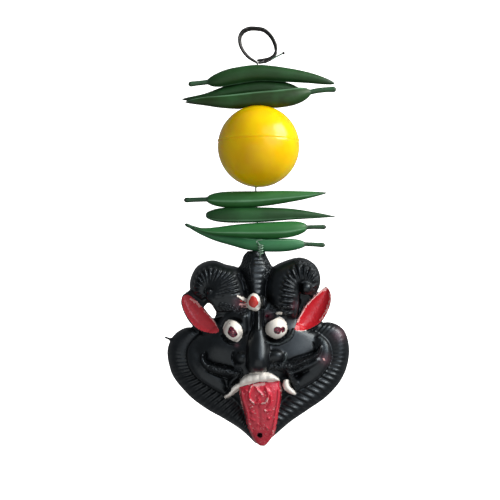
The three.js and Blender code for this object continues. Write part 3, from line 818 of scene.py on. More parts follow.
# The horns curl like a ram's. a is the edge at the curl's middle, b is the outline.
HORN_RIGHT = [
    [19.5, -144, 9.5, -143, 16.5], [20.6, -139, 5.6, -137.5, 18.8], [21, -134.5, 4.1, -132, 19.5],
    [21.4, -131, 4.6, -126, 18.5], [21.6, -130, 7.5, -119, 17.5], [22.2, -129, 14, -115.4, 16.5],
    [22.8, -128.6, 22, -113.7, 15.5], [23.3, -128.4, 28.7, -117, 14],
    [23.8, -128.6, 31.6, -122.9, 12.5], [24, -129.2, 31, -129, 11.5], [23.8, -130, 27.6, -133.4, 11],
]
HORN_LEFT = [
    [-20.4, -141, -6, -140, 16.5], [-23.4, -136.2, -4, -134.5, 17.6], [-25.2, -134, -4.6, -129.8, 17.6],
    [-24.6, -132, -6.5, -124.6, 17.2], [-23.2, -130.6, -9.5, -118.9, 16.5],
    [-23.5, -130.3, -15.6, -117.1, 15.5], [-23.8, -130.2, -22.4, -115.1, 14.5],
    [-24.2, -130.2, -29.6, -117.8, 13.5], [-24.6, -130.4, -33.3, -124.5, 12.5],
    [-24.6, -130.9, -32.9, -131.4, 11.5], [-24.2, -131.4, -27.4, -136, 11],
]
CURLS = [
    {"x": -23.7, "z": -130.7, "width": 3.2, "tall": 3.4, "top": 17.4, "depth": 4},
    {"x": 24.4, "z": -129, "width": 7.4, "tall": 7, "top": 16.4, "depth": 5},
]
HORN_RIB = 2.5


def horn_arch(u, crest, inner, power):
    """A section that stays high at the curl's middle and rolls off at the outline."""
    edge = inner + (0.3 - inner) * fade(u, 0, 1)
    return crest * (edge + (1 - edge) * (1 - np.abs(2 * u - 1) ** power) ** (1 / power))


def right_horn_section(u, place, crest, x, z):
    """The ribs lie near the curl's middle below, and further out on the arc."""
    on_arc = fade(place, 0.4, 0.6)
    shown = fade(u, 0.08 + 0.1 * on_arc, 0.2 + 0.1 * on_arc)
    shown *= 1 - fade(u, 0.5 + 0.25 * on_arc, 0.6 + 0.25 * on_arc)
    return horn_arch(u, crest, 0.7, 2.1) + HORN_RIB * 1.2 * ribs(16.7 * place - 1.1, 0.9) * shown


def left_horn_section(u, place, crest, x, z):
    """The ribs end in small knobs near the outline."""
    shown = fade(u, 0.06, 0.24) * (1 - fade(u, 0.76, 0.82)) * fade(place, 0.12, 0.2)
    knobs = 1 + 0.4 * np.exp(-(((u - 0.73) / 0.05) ** 2)) * fade(place, 0.4, 0.5)
    return horn_arch(u, crest, 0.85, 1.9) + HORN_RIB * knobs * ribs(22 * place, 0.9) * shown


# The crest stands between the horns and runs down to the brow's mark.
CREST = [
    [-4.7, -110.45, 3.8, -110.45, 8.5], [-6.8, -113, 4.8, -113, 10], [-8, -116.7, 6.7, -116.7, 12],
    [-9.2, -119.4, 7.7, -119.4, 13.5], [-6.8, -125, 5.6, -125, 14.5], [-5, -130, 4.7, -130, 15.5],
    [-4, -136, 4.6, -136, 16],
]
CREST_RIB = 0.9


def crest_section(u, place, crest, x, z):
    """A ridge with a plain flank on the left and ribs on the right one."""
    ridge = 0.47 - 0.15 * place
    left = np.clip((ridge - u) / ridge, 0, 1)
    right = np.clip((u - ridge) / (1 - ridge), 0, 1)
    flanks = crest * (1 - 0.5 * left**1.6 - (0.33 - 0.18 * place) * right**1.4 - 0.2 * right**6)
    shown = fade(u, ridge - 0.02, ridge + 0.04) * (1 - fade(right, 0.5, 0.66)) * fade(place, 0.1, 0.2)
    return flanks + CREST_RIB * ribs(12 * place, 0.5) * shown


# The ears are scooped leaves. a is the edge next to the head, b is the outer edge.
EAR_LEFT = [
    [-36.6, -132, -37.5, -133.1, 6], [-33.3, -131.8, -38, -136.2, 7.5], [-30.3, -135, -37, -140, 8.5],
    [-27.3, -138, -34.8, -144.5, 9.5], [-24.6, -141.4, -31.6, -148.4, 10.5],
    [-21.6, -144.8, -26.8, -151.2, 12], [-19, -148.2, -21.6, -152, 13.5],
    [-17.6, -150.4, -18.4, -151.8, 15],
]
EAR_RIGHT = [
    [34.4, -128.2, 35.6, -128.9, 6], [31.2, -130.8, 37, -132.4, 7.5], [28, -133.9, 36.7, -137, 8.5],
    [24.8, -137.2, 34.7, -142, 9.5], [22.2, -141.2, 31.5, -146.6, 10.5],
    [20.2, -145.2, 26.8, -149.5, 12], [18.6, -148.4, 22, -150.7, 13.5], [17.8, -150, 19, -151, 15],
]
EAR_DEPTH = 3


def ear_section(u, place, crest, x, z):
    """A hollow between two low rims, shallow at both ends."""
    scoop = np.sin(math.pi * np.clip((u - 0.08) / 0.84, 0, 1)) ** 0.6
    return crest - EAR_DEPTH * scoop * np.sin(math.pi * np.clip(place, 0, 1)) ** 0.4


# Thin webs of plastic tie the ears to the horns.
WEB_LEFT = [
    [-35.5, -131.2, -32, -129, 7], [-30.4, -136.2, -27, -130, 8], [-27.1, -138.8, -23.4, -129.6, 9],
    [-25, -136.7, -21.6, -130, 10], [-23.2, -136.9, -19.6, -131, 11], [-20.5, -140.8, -17, -137, 13],
    [-21.4, -144.4, -16, -143, 14],
]
WEB_RIGHT = [
    [19, -146, 22, -145.6, 8], [19.5, -139, 26.5, -139.5, 4], [20, -134, 30, -135, 4],
    [21.5, -127.5, 30, -129.5, 4],
]

# The moustache's halves run out from under the nose and curl up at their ends.
MOUSTACHE = [
    [
        [-8.6, -171.6, 3, 20.5], [-12, -171.4, 4, 20.5], [-16.6, -170.6, 4.6, 20.5],
        [-21.5, -169.6, 4, 20], [-25, -168, 3, 19], [-27.2, -165.2, 2.4, 18.5],
        [-27.2, -162, 1.8, 17.5],
    ],
    [
        [8.6, -168.8, 3, 21], [12.4, -168.6, 4.4, 21.5], [16.2, -168.4, 5.4, 21.5],
        [20, -167.1, 4.8, 21.2], [23.9, -165.8, 4, 20.8], [28, -163.7, 3, 20],
        [30.6, -161.4, 2.2, 19.4], [31.6, -158.8, 1.4, 18.4],
    ],
]

# The skin folds that hang from the cheeks round the mouth's corners, and the rolls of the jaw.
FOLDS = [
    [[17.6, -171.4, 1.8, 19.8], [21.4, -169.8, 2.8, 19.6], [25.6, -167.8, 3.4, 19], [31, -164.8, 3.8, 17.8]],
    [[15.2, -170, 2.4, 21], [17, -173.4, 2.6, 20.4], [19, -177, 2.6, 19], [19.9, -180.4, 2, 17]],
    [[-9.4, -173, 2, 20.6], [-12.6, -175.4, 2.2, 19.4], [-13.6, -178.6, 1.8, 17.5]],
    [
        [30, -153.4, 4, 13], [32.8, -157.6, 6.4, 15.2], [33.2, -163.6, 7.4, 16.4],
        [30, -169.2, 7.8, 16.8], [24.8, -173.8, 7.2, 16.8], [20.4, -177.8, 4.4, 16],
    ],
    [
        [-30, -155.4, 4, 12], [-31.6, -160, 6.4, 13.2], [-30.6, -166, 8, 14.6],
        [-26.8, -170.6, 9, 15.4], [-21.4, -175, 8, 15.2], [-17.4, -178.6, 6, 13.8],
        [-14, -181.6, 4, 12],
    ],
]

# The upper teeth, the fangs beside them, and the tongue that hangs out over the chin.
TEETH = [
    [-8.6, -175.2, -8.8, -178.4, 20.5], [-4.4, -172.2, -4.2, -176.9, 22], [1, -171.4, 1, -176.4, 22.5],
    [6.8, -171.6, 6.8, -175.6, 22.5], [11, -174.2, 11.3, -175.8, 21],
]
FANGS = [
    [[-7.8, -177, 3, 20], [-11.6, -179.4, 2.9, 19.4], [-14, -182, 2.6, 18.4], [-16, -183.4, 1.8, 17]],
    [[14.6, -174.6, 2.4, 20.8], [14.4, -177.4, 3.6, 20.6], [16, -179.8, 3.2, 19.8], [18.8, -182, 2, 18]],
    [[13.4, -176.6, 2, 20.4], [14.4, -178.4, 2.2, 20.2], [13, -180.6, 1.2, 19]],
]
TONGUE = [
    [-8.8, -175.4, 11.6, -174.4, 20], [-8.6, -180.2, 11.9, -179.6, 21.5],
    [-7.8, -184.4, 11.6, -184, 21.5], [-5.9, -191, 10.5, -190.6, 20], [-4.4, -198, 9.3, -198.4, 17.5],
    [-2.4, -202.8, 7.9, -202.8, 15], [-0.6, -206, 5.6, -206.2, 13], [1.4, -207.9, 3.8, -208, 12],
]

# The brow's painted mark and the low bump to the right of it.
BINDI = {"x": -1.6, "z": -136, "width": 6.9, "tall": 9, "top": 20.2, "depth": 3.4, "turned": 0.15}
BUMP = {"x": 3.4, "z": -136, "width": 2.8, "tall": 6.6, "top": 20.6, "depth": 4}

# A flash of plastic that is left where the mould's halves met.
FLASH = [[-42.6, -154.9, 1.6, 5], [-44.4, -154.2, 1, 4.6], [-46.2, -153.5, 0.8, 4.2]]


def hair_section(u, place, crest, x, z):
    """A rounded roll with wavy strands along it."""
    strands = 0.45 * ribs(3.5 * u + 0.6 * np.sin(9 * place)) * fade(u, 0.05, 0.2)
    return arch(0.7, 2.2)(u, place, crest, x, z) + strands


def teeth_section(u, place, crest, x, z):
    """A rounded row with a narrow gap between each tooth and the next."""
    return arch(0.85, 2.2)(u, place, crest, x, z) + 0.8 * ribs(6 * place, 0.35)


# The forms that the hollow follows on the inside, with the faces across and along each.
hollowed = [
    ("mane_left", MANE_LEFT, mane_section, 24, 300),
    ("mane_right", MANE_RIGHT, mane_section, 24, 300),
    ("face", FACE, face_section, 90, 90),
    ("horn_left", HORN_LEFT, left_horn_section, 36, 260),
    ("horn_right", HORN_RIGHT, right_horn_section, 36, 260),
    ("crest", CREST, crest_section, 32, 110),
    ("nose", NOSE, arch(0.76, 2.0), 24, 50),
    ("tongue", TONGUE, arch(0.8, 3), 36, 60),
    ("ear_left", EAR_LEFT, ear_section, 24, 44),
    ("ear_right", EAR_RIGHT, ear_section, 24, 44),
    ("web_right", WEB_RIGHT, arch(1, 2), 6, 20),
]


def modified(obj, kind, **settings):
    """Adds a modifier with its settings and applies it."""
    pick(obj)
    modifier = obj.modifiers.new(kind.lower(), kind)
    for name, value in settings.items():
        setattr(modifier, name, value)
    bpy.ops.object.modifier_apply(modifier=modifier.name)


def fused(name, pieces, grain, rounds):
    """Joins forms, fuses them into one skin and smooths it."""
    made = joined(name, pieces)
    modified(made, "REMESH", mode="VOXEL", voxel_size=grain * MM)
    modified(made, "SMOOTH", factor=0.5, iterations=rounds)
    return made


# The face is modelled soft first, then the crisp forms are set on it.
made = {name: relief(name, *rest) for name, *rest in hollowed}
soft = [made.pop("face"), made.pop("nose")]
for number, one in enumerate(WINGS):
    soft.append(lump(f"wing_{number}", **one))
for number, line in enumerate(FOLDS):
    soft.append(relief(f"fold_{number}", band(line), arch(0.84, 2.2), across=16, along=60))
forms = [fused("soft_face", soft, GRAIN, rounds=16), *made.values()]
forms.append(relief("web_left", WEB_LEFT, arch(1, 2), across=6, along=24))
forms.append(relief("teeth", TEETH, teeth_section, across=14, along=90))
for number, line in enumerate(MOUSTACHE):
    forms.append(relief(f"moustache_{number}", band(line), hair_section, across=20, along=60))
for number, line in enumerate(FANGS):
    forms.append(relief(f"fang_{number}", band(line), arch(0.8, 2.2), across=12, along=30))
forms.append(relief("flash", band(FLASH), arch(0.8, 2.2), across=8, along=20))
for number, one in enumerate([*EYES, *CURLS, BINDI, BUMP]):
    forms.append(lump(f"lump_{number}", **one))
mask = fused("demon_mask", forms, GRAIN, rounds=2)

# The photograph's view from close in front: the place it looks at and how far away it is.
SIGHT = np.array(AIM)[[0, 2]] / MM
AWAY = CAMERA_AWAY / MM


def drawn_in(obj):
    """All forms are placed as they appear from the front, so what stands nearer is drawn in towards
    the line of sight."""
    points = get_points(obj)
    share = (AWAY + points[:, 1:2]) / AWAY
    points[:, [0, 2]] = SIGHT + (points[:, [0, 2]] - SIGHT) * share
    set_points(obj, points)


def beside(flat, line, margin):
    """Which of the points [x, z] lie in the box round a line, with a margin."""
    return ((flat > line.min(0) - margin) & (flat < line.max(0) + margin)).all(1)


def distance_to(flat, starts, steps):
    """How far each point [x, z] lies from the nearest of a line's straight steps."""
    offset = flat[:, None, :] - starts
    share = np.clip((offset * steps).sum(2) / np.maximum((steps**2).sum(1), 1e-9), 0, 1)
    return np.linalg.norm(offset - share[..., None] * steps, axis=2).min(1)


def carve(points, line, width, height):
    """Raises the front by height along a smooth line of points [x, z], width on each side of it."""
    route = spline(line, np.linspace(0, 1, 12 * len(line)))
    flat = points[:, [0, 2]]
    near = np.flatnonzero(beside(flat, route, width) & (points[:, 1] < RIM - 1))
    distance = distance_to(flat[near], route[:-1], np.diff(route, axis=0))
    points[near, 1] -= height * np.clip(1 - (distance / width) ** 2, 0, 1) ** 2


# Carving: strokes of a round tool in the still soft model. Each is a line, the stroke's width on each
# side of it and how far it is raised, or sunk where that is below 0.
STROKES = [
    # the eyes' sockets and the bags under them
    ([[-17.4, -148], [-15.6, -144.9], [-12, -143.9], [-8.4, -145.6]], 0.9, -0.8),
    ([[-17.6, -152.5], [-15.4, -155.4], [-12, -157], [-8.4, -156.4], [-6.4, -153]], 0.9, -0.7),
    ([[4.2, -153.2], [7, -154.8], [10.6, -155.1], [13.7, -153.6], [15.5, -150.4]], 0.8, -1.3),
    ([[4.6, -155.6], [7.6, -156.9], [10.9, -157], [14.2, -155.6], [16.9, -153.4], [18.3, -150]], 1.0, 1.6),
    ([[4.4, -144.4], [7, -142.6], [10, -142], [13.6, -142.8]], 0.8, -0.9),
    ([[10.2, -141.6], [11, -141.5], [11.9, -141.6]], 1.2, 1.1),
    # the bridge of the nose and the smooth bulges beside it
    ([[0.7, -140.5], [0.8, -145], [0.7, -149.6]], 1.3, 0.9),
    ([[-1.2, -140.5], [-1.6, -149], [-3.4, -154]], 0.9, -1),
    ([[2.8, -140.5], [3.2, -147], [4.4, -153.6]], 0.8, -1),
    ([[-6.9, -143.8], [-6.6, -150.5]], 3, 1.8),
    ([[-2.6, -141], [-2.8, -150]], 0.9, -0.9),
    # the creases round the nose's wings
    ([[13.1, -162.2], [12.9, -164.2], [12, -165.8]], 0.8, -0.7),
    ([[14.1, -162], [14.4, -164.4], [13.2, -166.4], [11.4, -167.2]], 0.9, 1),
    ([[6.2, -162], [6, -164.4], [5.4, -167.4]], 0.9, -0.7),
    ([[-11.8, -161], [-12.4, -164], [-11.4, -167]], 0.9, -0.9),
    # the creases above and in the moustache, the groove behind its curl and the mouth's corners
    ([[13.8, -166.8], [16, -165.4], [20.5, -163.7], [25.8, -162.2], [28.8, -161]], 0.9, -1.2),
    ([[13, -169.6], [16.7, -168.5], [21.3, -166.6], [26.4, -164.3], [30.5, -161.8], [31.9, -158.3]], 1, 1.1),
    ([[28.3, -156.4], [28.6, -158.2], [28.9, -160.6]], 0.7, -0.8),
    ([[17.4, -170.4], [21, -169], [25.8, -166.8], [29, -165]], 0.7, -0.8),
    ([[18.8, -172.8], [21.4, -172.2], [25, -170.2]], 1.4, -0.9),
    ([[17.2, -172], [18.8, -174.6], [20.6, -178.4]], 0.6, 0.8),
    ([[-12, -169], [-17, -168], [-22, -167], [-25.4, -164.6], [-25.6, -161.6]], 0.9, -1.1),
    ([[-13.8, -174.6], [-17, -173.4], [-21, -172], [-25, -170]], 1, -1.1),
    # the light ridge down the left horn's edge and the rim of the right one
    ([[-8.8, -121.3], [-6.8, -124.6], [-5.5, -127.9], [-4.6, -131.2]], 0.7, 1.1),
    ([[-9.6, -123], [-7.8, -126], [-6.8, -130]], 0.7, -0.9),
    ([[21.4, -134.8], [20.6, -137.5], [20, -142.5]], 0.8, 1),
    ([[19.4, -135], [18.8, -138.5], [18.6, -142]], 0.8, -0.7),
    # the tongue's raised loop, strokes and lumps
    ([[-2.7, -178], [-3.9, -181], [-3.6, -184.5], [-1.9, -186.4], [-0.2, -186.7], [0.9, -185.6]], 0.9, 1),
    ([[2, -186.8], [4.2, -186.3], [5.4, -184.2], [5.6, -182], [4.6, -180]], 0.9, 1),
    ([[4.2, -178.6], [5.9, -180.6], [6.9, -183.4], [6.8, -186.7], [5.3, -188.4]], 0.7, 0.7),
    ([[-0.8, -178.4], [0.6, -180.3], [1.6, -181.2], [3.1, -182.8]], 0.8, 0.8),
    ([[1.6, -182.8], [0.4, -183.8], [1.2, -184.9]], 0.7, 0.7),
    ([[-7.7, -181], [-6.9, -185], [-5, -191], [-4, -197], [-2.6, -201.4]], 0.9, 0.9),
    ([[10.9, -180], [10.7, -184], [9.6, -190.4], [8.5, -197.4], [7.2, -202]], 0.9, 0.9),
    ([[0.8, -189.6], [1.4, -199]], 1.3, -0.4),
    ([[-5.6, -180.3], [-5.4, -180.4]], 1, 1),
    ([[-2.6, -191.2], [-2.4, -191.3]], 1, 1),
    ([[5.8, -194.2], [6, -194.3]], 1, 1),
    ([[-3.4, -189], [-2.4, -188.6]], 0.7, 0.6),
    ([[3.8, -190.2], [5, -190.8], [6.6, -190.4]], 0.7, 0.6),
    ([[-3, -194.4], [-1.6, -195.2]], 0.7, 0.6),
    ([[0.2, -197], [1.2, -197.6], [2.2, -197]], 0.7, 0.5),
    ([[4.6, -198.6], [5.6, -199.4]], 0.7, 0.6),
    ([[1.2, -187.9], [1.5, -188]], 0.8, 0.8),
    # the dimple between the brows and the one in the right curl
    ([[5.1, -143.1], [5.2, -143.4]], 1.2, -1.2),
    ([[21.7, -127.8], [21.8, -130]], 1.5, -3),
]
points = get_points(mask)
for line, width, height in STROKES:
    carve(points, line, width, height)
set_points(mask, points)
drawn_in(mask)

# The inside follows the forms one wall deeper, and the back edge is trimmed flat. The tongue's tip
# stays solid round its hole, which is wide in front and narrow behind.
TRIM = Vector((140, 20, 140))  # the block that cuts the back edge flat
TRIM_AT = Vector((0, RIM + TRIM.y / 2, -160))
HOLE_AT = [1.4, -200.9]
HOLE_FRONT = [1.3, -20, 0]  # its radius, and where it starts and ends from front to back
HOLE_BEHIND = [0.5, -1, 20]
WIRE_HOLE = 1.7  # how thick the hole is that the bright wire goes through
hollows = []
for name, line, section, *_ in hollowed:
    kept = line[:5] if name == "tongue" else line
    hollows.append(relief(name, kept, section, across=14, along=40, inset=WALL))
hollow = fused("hollow", hollows, 2 * GRAIN, rounds=6)
modified(hollow, "DECIMATE", ratio=0.5)
drawn_in(hollow)
lining = get_points(hollow)
bpy.ops.mesh.primitive_cube_add(size=1, location=TRIM_AT * MM)
behind = bpy.context.object
behind.scale = TRIM * MM
placed(behind)
drilled = []
for radius, front, back in (HOLE_FRONT, HOLE_BEHIND):
    bpy.ops.mesh.primitive_cylinder_add(
        vertices=32,
        radius=radius * MM,
        depth=(back - front) * MM,
        location=Vector((HOLE_AT[0], (front + back) / 2, HOLE_AT[1])) * MM,
        rotation=(math.pi / 2, 0, 0),
    )
    drilled.append(placed(bpy.context.object))
wire_hole = wire_along("wire_hole", [THREAD[-2], *HOOK[:5]], WIRE_HOLE, steps=60)
for cutter in (hollow, behind, *drilled, wire_hole):
    modified(mask, "BOOLEAN", operation="DIFFERENCE", solver="MANIFOLD", object=cutter)
    bpy.data.objects.remove(cutter)

# Crumbs that the cuts leave are cleared away.
bpy.ops.object.mode_set(mode="EDIT")
bpy.ops.mesh.select_all(action="SELECT")
bpy.ops.mesh.separate(type="LOOSE")
bpy.ops.object.mode_set(mode="OBJECT")
parts = sorted(bpy.context.selected_objects, key=lambda part: len(part.data.vertices))
mask = parts.pop()
for crumb in parts:
    bpy.data.objects.remove(crumb)
mask.name = "demon_mask"
pick(mask)
bpy.ops.object.shade_smooth_by_angle(angle=math.radians(50))

UNPAINTED = 2.0  # a vertex this far outside an outline is out of its reach


def smooth_loop(outline):
    """A closed smooth line through the corners of an outline of [x, z]."""
    around = np.array([outline[-1], *outline, outline[0], outline[1]], float)
    count = len(outline)
    places = (1 + np.linspace(0, count, 8 * count, endpoint=False)) / (count + 2)
    return spline(around, places)


def inside(flat, outline):
    """How many millimetres inside a closed outline each point lies, less than 0 outside it."""
    start = np.array(outline, float)
    end = np.roll(start, -1, axis=0)
    near = np.flatnonzero(beside(flat, start, UNPAINTED))
    at = flat[near, None, :]
    step = end - start
    distance = distance_to(flat[near], start, step)
    above = (start[:, 1] > at[..., 1]) != (end[:, 1] > at[..., 1])
    slope = step[:, 0] / np.where(step[:, 1] == 0, 1e-9, step[:, 1])
    crossed = above & (at[..., 0] < start[:, 0] + (at[..., 1] - start[:, 1]) * slope)
    found = np.full(len(flat), -UNPAINTED)
    found[near] = np.where(crossed.sum(1) % 2 == 1, distance, -distance)
    return found


def streak(flat, line, width):
    """The same for a brush stroke of that width along a smooth line."""
    route = spline(line, np.linspace(0, 1, 10 * len(line)))
    near = np.flatnonzero(beside(flat, route, UNPAINTED))
    found = np.full(len(flat), -UNPAINTED)
    found[near] = width / 2 - distance_to(flat[near], route[:-1], np.diff(route, axis=0))
    return found


# Painted by hand: white on the eyes, teeth, fangs and the brow's mark, then red on the ears, the tongue
# and the mark. Each vertex keeps how far inside a painted outline it lies, which gives sharp edges.
LEFT_EYE = [
    [-12.6, -144.9], [-9.7, -146.3], [-7.8, -148.7], [-7.1, -151.1], [-7.8, -153.9], [-10, -155.9],
    [-12.8, -155.1], [-15.3, -153], [-16.9, -150.1], [-16.5, -147.2], [-15, -145.4],
]
RIGHT_EYE = [
    [11.6, -143.4], [13.4, -144.5], [14.6, -146.3], [15.1, -148.5], [14.9, -150.8], [13.5, -152.7],
    [11.5, -154], [9.4, -154.5], [7, -153.5], [5, -152.1], [4.1, -149.8], [4.5, -147.6],
    [6, -146.1], [8, -144.9], [9.8, -144],
]
LEFT_PUPIL = [
    [-13.1, -148.1], [-11.6, -149], [-10.3, -150.6], [-9.8, -152.3], [-11, -153.6], [-12.6, -153.7],
    [-14.1, -152.4], [-14.7, -150.8], [-14, -149.2],
]
RIGHT_PUPIL = [
    [10.4, -148.3], [11.6, -148.8], [12.2, -150], [11.8, -151.4], [10.4, -152.2], [8.9, -151.6],
    [8.3, -150.2], [8.9, -148.9],
]
MARK_WHITE = [
    [-1.1, -131.6], [0.9, -133], [1.8, -135.4], [1.9, -137.4], [1.5, -139.2], [-0.4, -140.5],
    [-3.2, -139.9], [-5.2, -138.4], [-4.9, -136.4], [-4.4, -133.6], [-2.8, -131.9],
]
MARK_RED = [
    [-1.5, -133], [0.2, -134.7], [0.7, -136.7], [-0.2, -138.2], [-1.5, -138.9], [-3.3, -138.1],
    [-4.3, -136.4], [-3.6, -134.3], [-2.6, -133.2],
]
TEETH_WHITE = [
    [-8.6, -175.4], [-6.9, -173.4], [-4.4, -172], [-1.5, -171.2], [5.5, -171.2], [8.6, -172.4],
    [11, -174.2], [11.4, -175.6], [10, -175.8], [7, -176], [3, -175.8], [0.9, -175.9], [-1.9, -176.7],
    [-5.5, -177.5], [-8.3, -178.3],
]
LEFT_FANG_WHITE = [
    [-8.3, -176.5], [-11.8, -178], [-13.8, -181.4], [-16.4, -183.2], [-15.2, -184.2],
    [-11.6, -182.2], [-8.4, -179.2],
]
RIGHT_FANG_WHITE = [
    [14, -174.8], [15.8, -175], [16.4, -176.8], [18, -179.3], [19.6, -181.6], [18.4, -182.4],
    [15.3, -181.2], [13.2, -179], [12.7, -177.4], [13.2, -175.8],
]
LEFT_EAR_RED = [
    [-37.4, -133.6], [-37.4, -137], [-36.2, -141], [-33.8, -145], [-30.6, -148.6], [-26.4, -150.8],
    [-21.6, -151.6], [-19, -150.4], [-21, -146.6], [-24, -142.6], [-27.4, -138.6], [-31, -134.8],
    [-34.6, -132.4],
]
RIGHT_EAR_RED = [
    [35, -128.8], [36.8, -132], [36.6, -136.6], [34.6, -141.6], [31.4, -146.2], [26.6, -149.2],
    [21.4, -150.4], [19, -149.4], [20.2, -145.4], [22.4, -141.2], [25, -137.2], [28.2, -133.8],
    [31.6, -130.6],
]
TONGUE_RED = [
    [-8.6, -178.6], [-5.5, -177.8], [-1.9, -176.9], [1.2, -176.1], [7, -176.1], [11.6, -175.6],
    [12.3, -180], [12, -185], [10.9, -191], [9.7, -198], [8.4, -202.8], [6, -206.4], [2.8, -208.6],
    [-0.8, -206.4], [-2.8, -202.8], [-4.8, -198], [-6.3, -191], [-8.2, -184.4], [-9, -180.4],
]
ENAMELS = {
    "white": [LEFT_EYE, RIGHT_EYE, MARK_WHITE, TEETH_WHITE, LEFT_FANG_WHITE, RIGHT_FANG_WHITE],
    "red": [MARK_RED, LEFT_EAR_RED, RIGHT_EAR_RED, TONGUE_RED],
    "pupil": [LEFT_PUPIL, RIGHT_PUPIL],
    "pale": [],
    "painted_ridge_highlight": [],
    "stipple": [],
}

# Strokes of the brush: each is a line and how wide it is.
BRUSHED = {
    "white": [
        ([[10.2, -141.7], [11, -141.5], [11.9, -141.6]], 1.4),
        ([[-9.6, -133], [-7.4, -134], [-5.4, -135.4]], 0.9),
        ([[-7.4, -134.2], [-5.6, -135], [-4.6, -135.4]], 1.6),
        ([[-5.4, -136.6], [-4.8, -138.4]], 1),
        # Under the right ear: partly white paint, partly a painted highlight on the ear's lower edge.
        ([[19.6, -149.8], [22, -150.3], [24.4, -149.8]], 0.8),
        ([[11.8, -182.4], [12, -182.4]], 1.1),
    ],
    "red": [([[-8.2, -135.6], [-6.6, -136], [-5.4, -136.6]], 0.5)],
    "pupil": [
        ([[12.5, -149.3], [13.2, -149], [13.5, -149.8], [12.8, -150.7]], 1.3),
        ([[-13.5, -147], [-13.2, -147.1]], 0.6),
        ([[5, -143], [5.2, -143.2]], 1.5),
        # Dark red in the tongue's hole: partly paint run into it, partly painted shade of the pit.
        ([[1.2, -202.5], [1.6, -202.6]], 2.6),
    ],
    # Pale pink: partly thin red paint, on the ears' rims and the lines beside the brow's mark, and partly
    # painted highlights and glints, on the tongue's loop, rims and lumps, in the pupils, on the left ear's
    # edge and on the mane.
    "pale": [
        ([[34.8, -129], [32, -130.7], [28.6, -133.6], [25.2, -137], [22.6, -141], [20.4, -145.6]], 1.1),
        ([[36.3, -131.6], [36.3, -135.4], [34.4, -140.6], [31.4, -145]], 0.6),
        ([[-33, -134.6], [-30.4, -136.4], [-28.6, -138.2]], 1.2),
        ([[-27.4, -139.4], [-24.6, -142.4], [-21.4, -146], [-19.6, -149]], 0.25),
        ([[-1.2, -177.4], [1.4, -177.4], [3.4, -177.2]], 1.5),
        ([[-3.4, -184.8], [-1.9, -186.4], [-0.2, -186.8]], 0.5),
        ([[2.2, -186.8], [4.2, -186.3], [5.3, -184.4]], 0.7),
        ([[-2.8, -178.2], [-3.8, -180.8]], 0.4),
        ([[-12.2, -150.8], [-12, -151.6]], 0.5),
        ([[10.3, -149.7], [10.5, -150.5]], 0.5),
        ([[33.3, -164.8], [33.7, -164.8]], 0.9),
        ([[8, -200.6], [8.1, -201.6]], 0.5),
        ([[-8.4, -137.2], [-6.8, -137.1], [-5.2, -137.4]], 0.8),
        ([[-7.8, -138.4], [-6.4, -138.6], [-5.2, -138.6]], 0.5),
        ([[11.5, -176.6], [12, -180.4]], 0.6),
        ([[-8.6, -179.4], [-8.2, -184], [-7, -189]], 0.4),
        ([[-3.4, -188.8], [-2.4, -188.4]], 0.4),
        ([[4, -190], [5.4, -190.6]], 0.4),
        ([[3, -183.2], [2, -181.8], [0.8, -180.6]], 0.4),
    ],
    # Painted highlights in grey where ridges catch the light: the bag under the right eye, a crease by the
    # nose's wing and the jaw's outer edge.
    "painted_ridge_highlight": [
        ([[5.4, -156.2], [7.6, -156.9], [10.9, -157], [14.2, -155.6], [16.9, -153.4], [18.2, -150.4]], 0.9),
        ([[14, -162.4], [14.3, -164.4], [13.2, -166.2]], 0.9),
        ([[31.6, -153.6], [34.2, -157], [35, -160.6]], 0.9),
    ],
    "stipple": [
        ([[8, -168.6], [12.4, -168.4], [16.2, -168.2], [20, -167], [24, -165.6]], 4.6),
        ([[15.2, -170], [17, -173.4], [19, -177], [19.8, -180]], 2.4),
        ([[-8.6, -171.4], [-16.6, -170.2], [-23.5, -168.4]], 4.4),
        ([[-18, -138], [-12, -139.4], [-6, -140.6]], 3.6),
        ([[8, -139], [12, -139.6], [16, -140]], 3.4),
        ([[-4.6, -113], [-6, -118], [-4.6, -124]], 4.6),
        ([[5, -114], [6, -118.4], [5, -123]], 3.2),
        ([[21, -116], [26, -117], [29.4, -121], [30.2, -126], [29, -129]], 4.8),
    ],
}

# Reddish smudges left by the brush: x, z and width.
SMEARS = [
    [-9, -136.6, 2.6], [34, -164.6, 2.4], [41.2, -152.2, 3], [18.8, -137.8, 1.7], [-10, -157.6, 1],
    [-1, -172, 2], [6, -142.8, 1.8],
]
SPECKLE = 0.41  # how far under the paint's edge the tongue's pale specks lie, which are painted glints of its bumpy gloss
FACING = 0.3  # how far back a piece of skin may look and still take paint
LINING_GAP = 0.02  # skin this near the hollow's lining is inside the mask
EARS_FROM = 18  # the ears lie further out than this
MARK_OVER = -142  # the brow's mark lies above this, and less than the next from the middle
MARK_WIDE = 9
points = get_points(mask)
normals = np.empty(len(points) * 3)
mask.data.vertices.foreach_get("normal", normals)
facing = normals.reshape(-1, 3)[:, 1] < FACING
within = KDTree(len(lining))
for number, point in enumerate(lining):
    within.insert(point, number)
within.balance()
facing &= np.array([within.find(point)[2] > LINING_GAP for point in points])
seen = SIGHT + (points[:, [0, 2]] - SIGHT) * AWAY / (AWAY + points[:, 1:2])
for enamel, outlines in ENAMELS.items():
    covered = [inside(seen, smooth_loop(outline)) for outline in outlines]
    covered += [streak(seen, line, width) for line, width in BRUSHED[enamel]]
    # The tongue gets pale specks, painted glints of its bumpy gloss.
    if enamel == "pale":
        covered.append(np.minimum(inside(seen, smooth_loop(TONGUE_RED)), 0) - SPECKLE)
    keep(mask, enamel, np.where(facing, np.max(covered, axis=0), -UNPAINTED))
keep(mask, "smear", sum(hump(*seen.T, x, z, wide, wide) for x, z, wide in SMEARS))

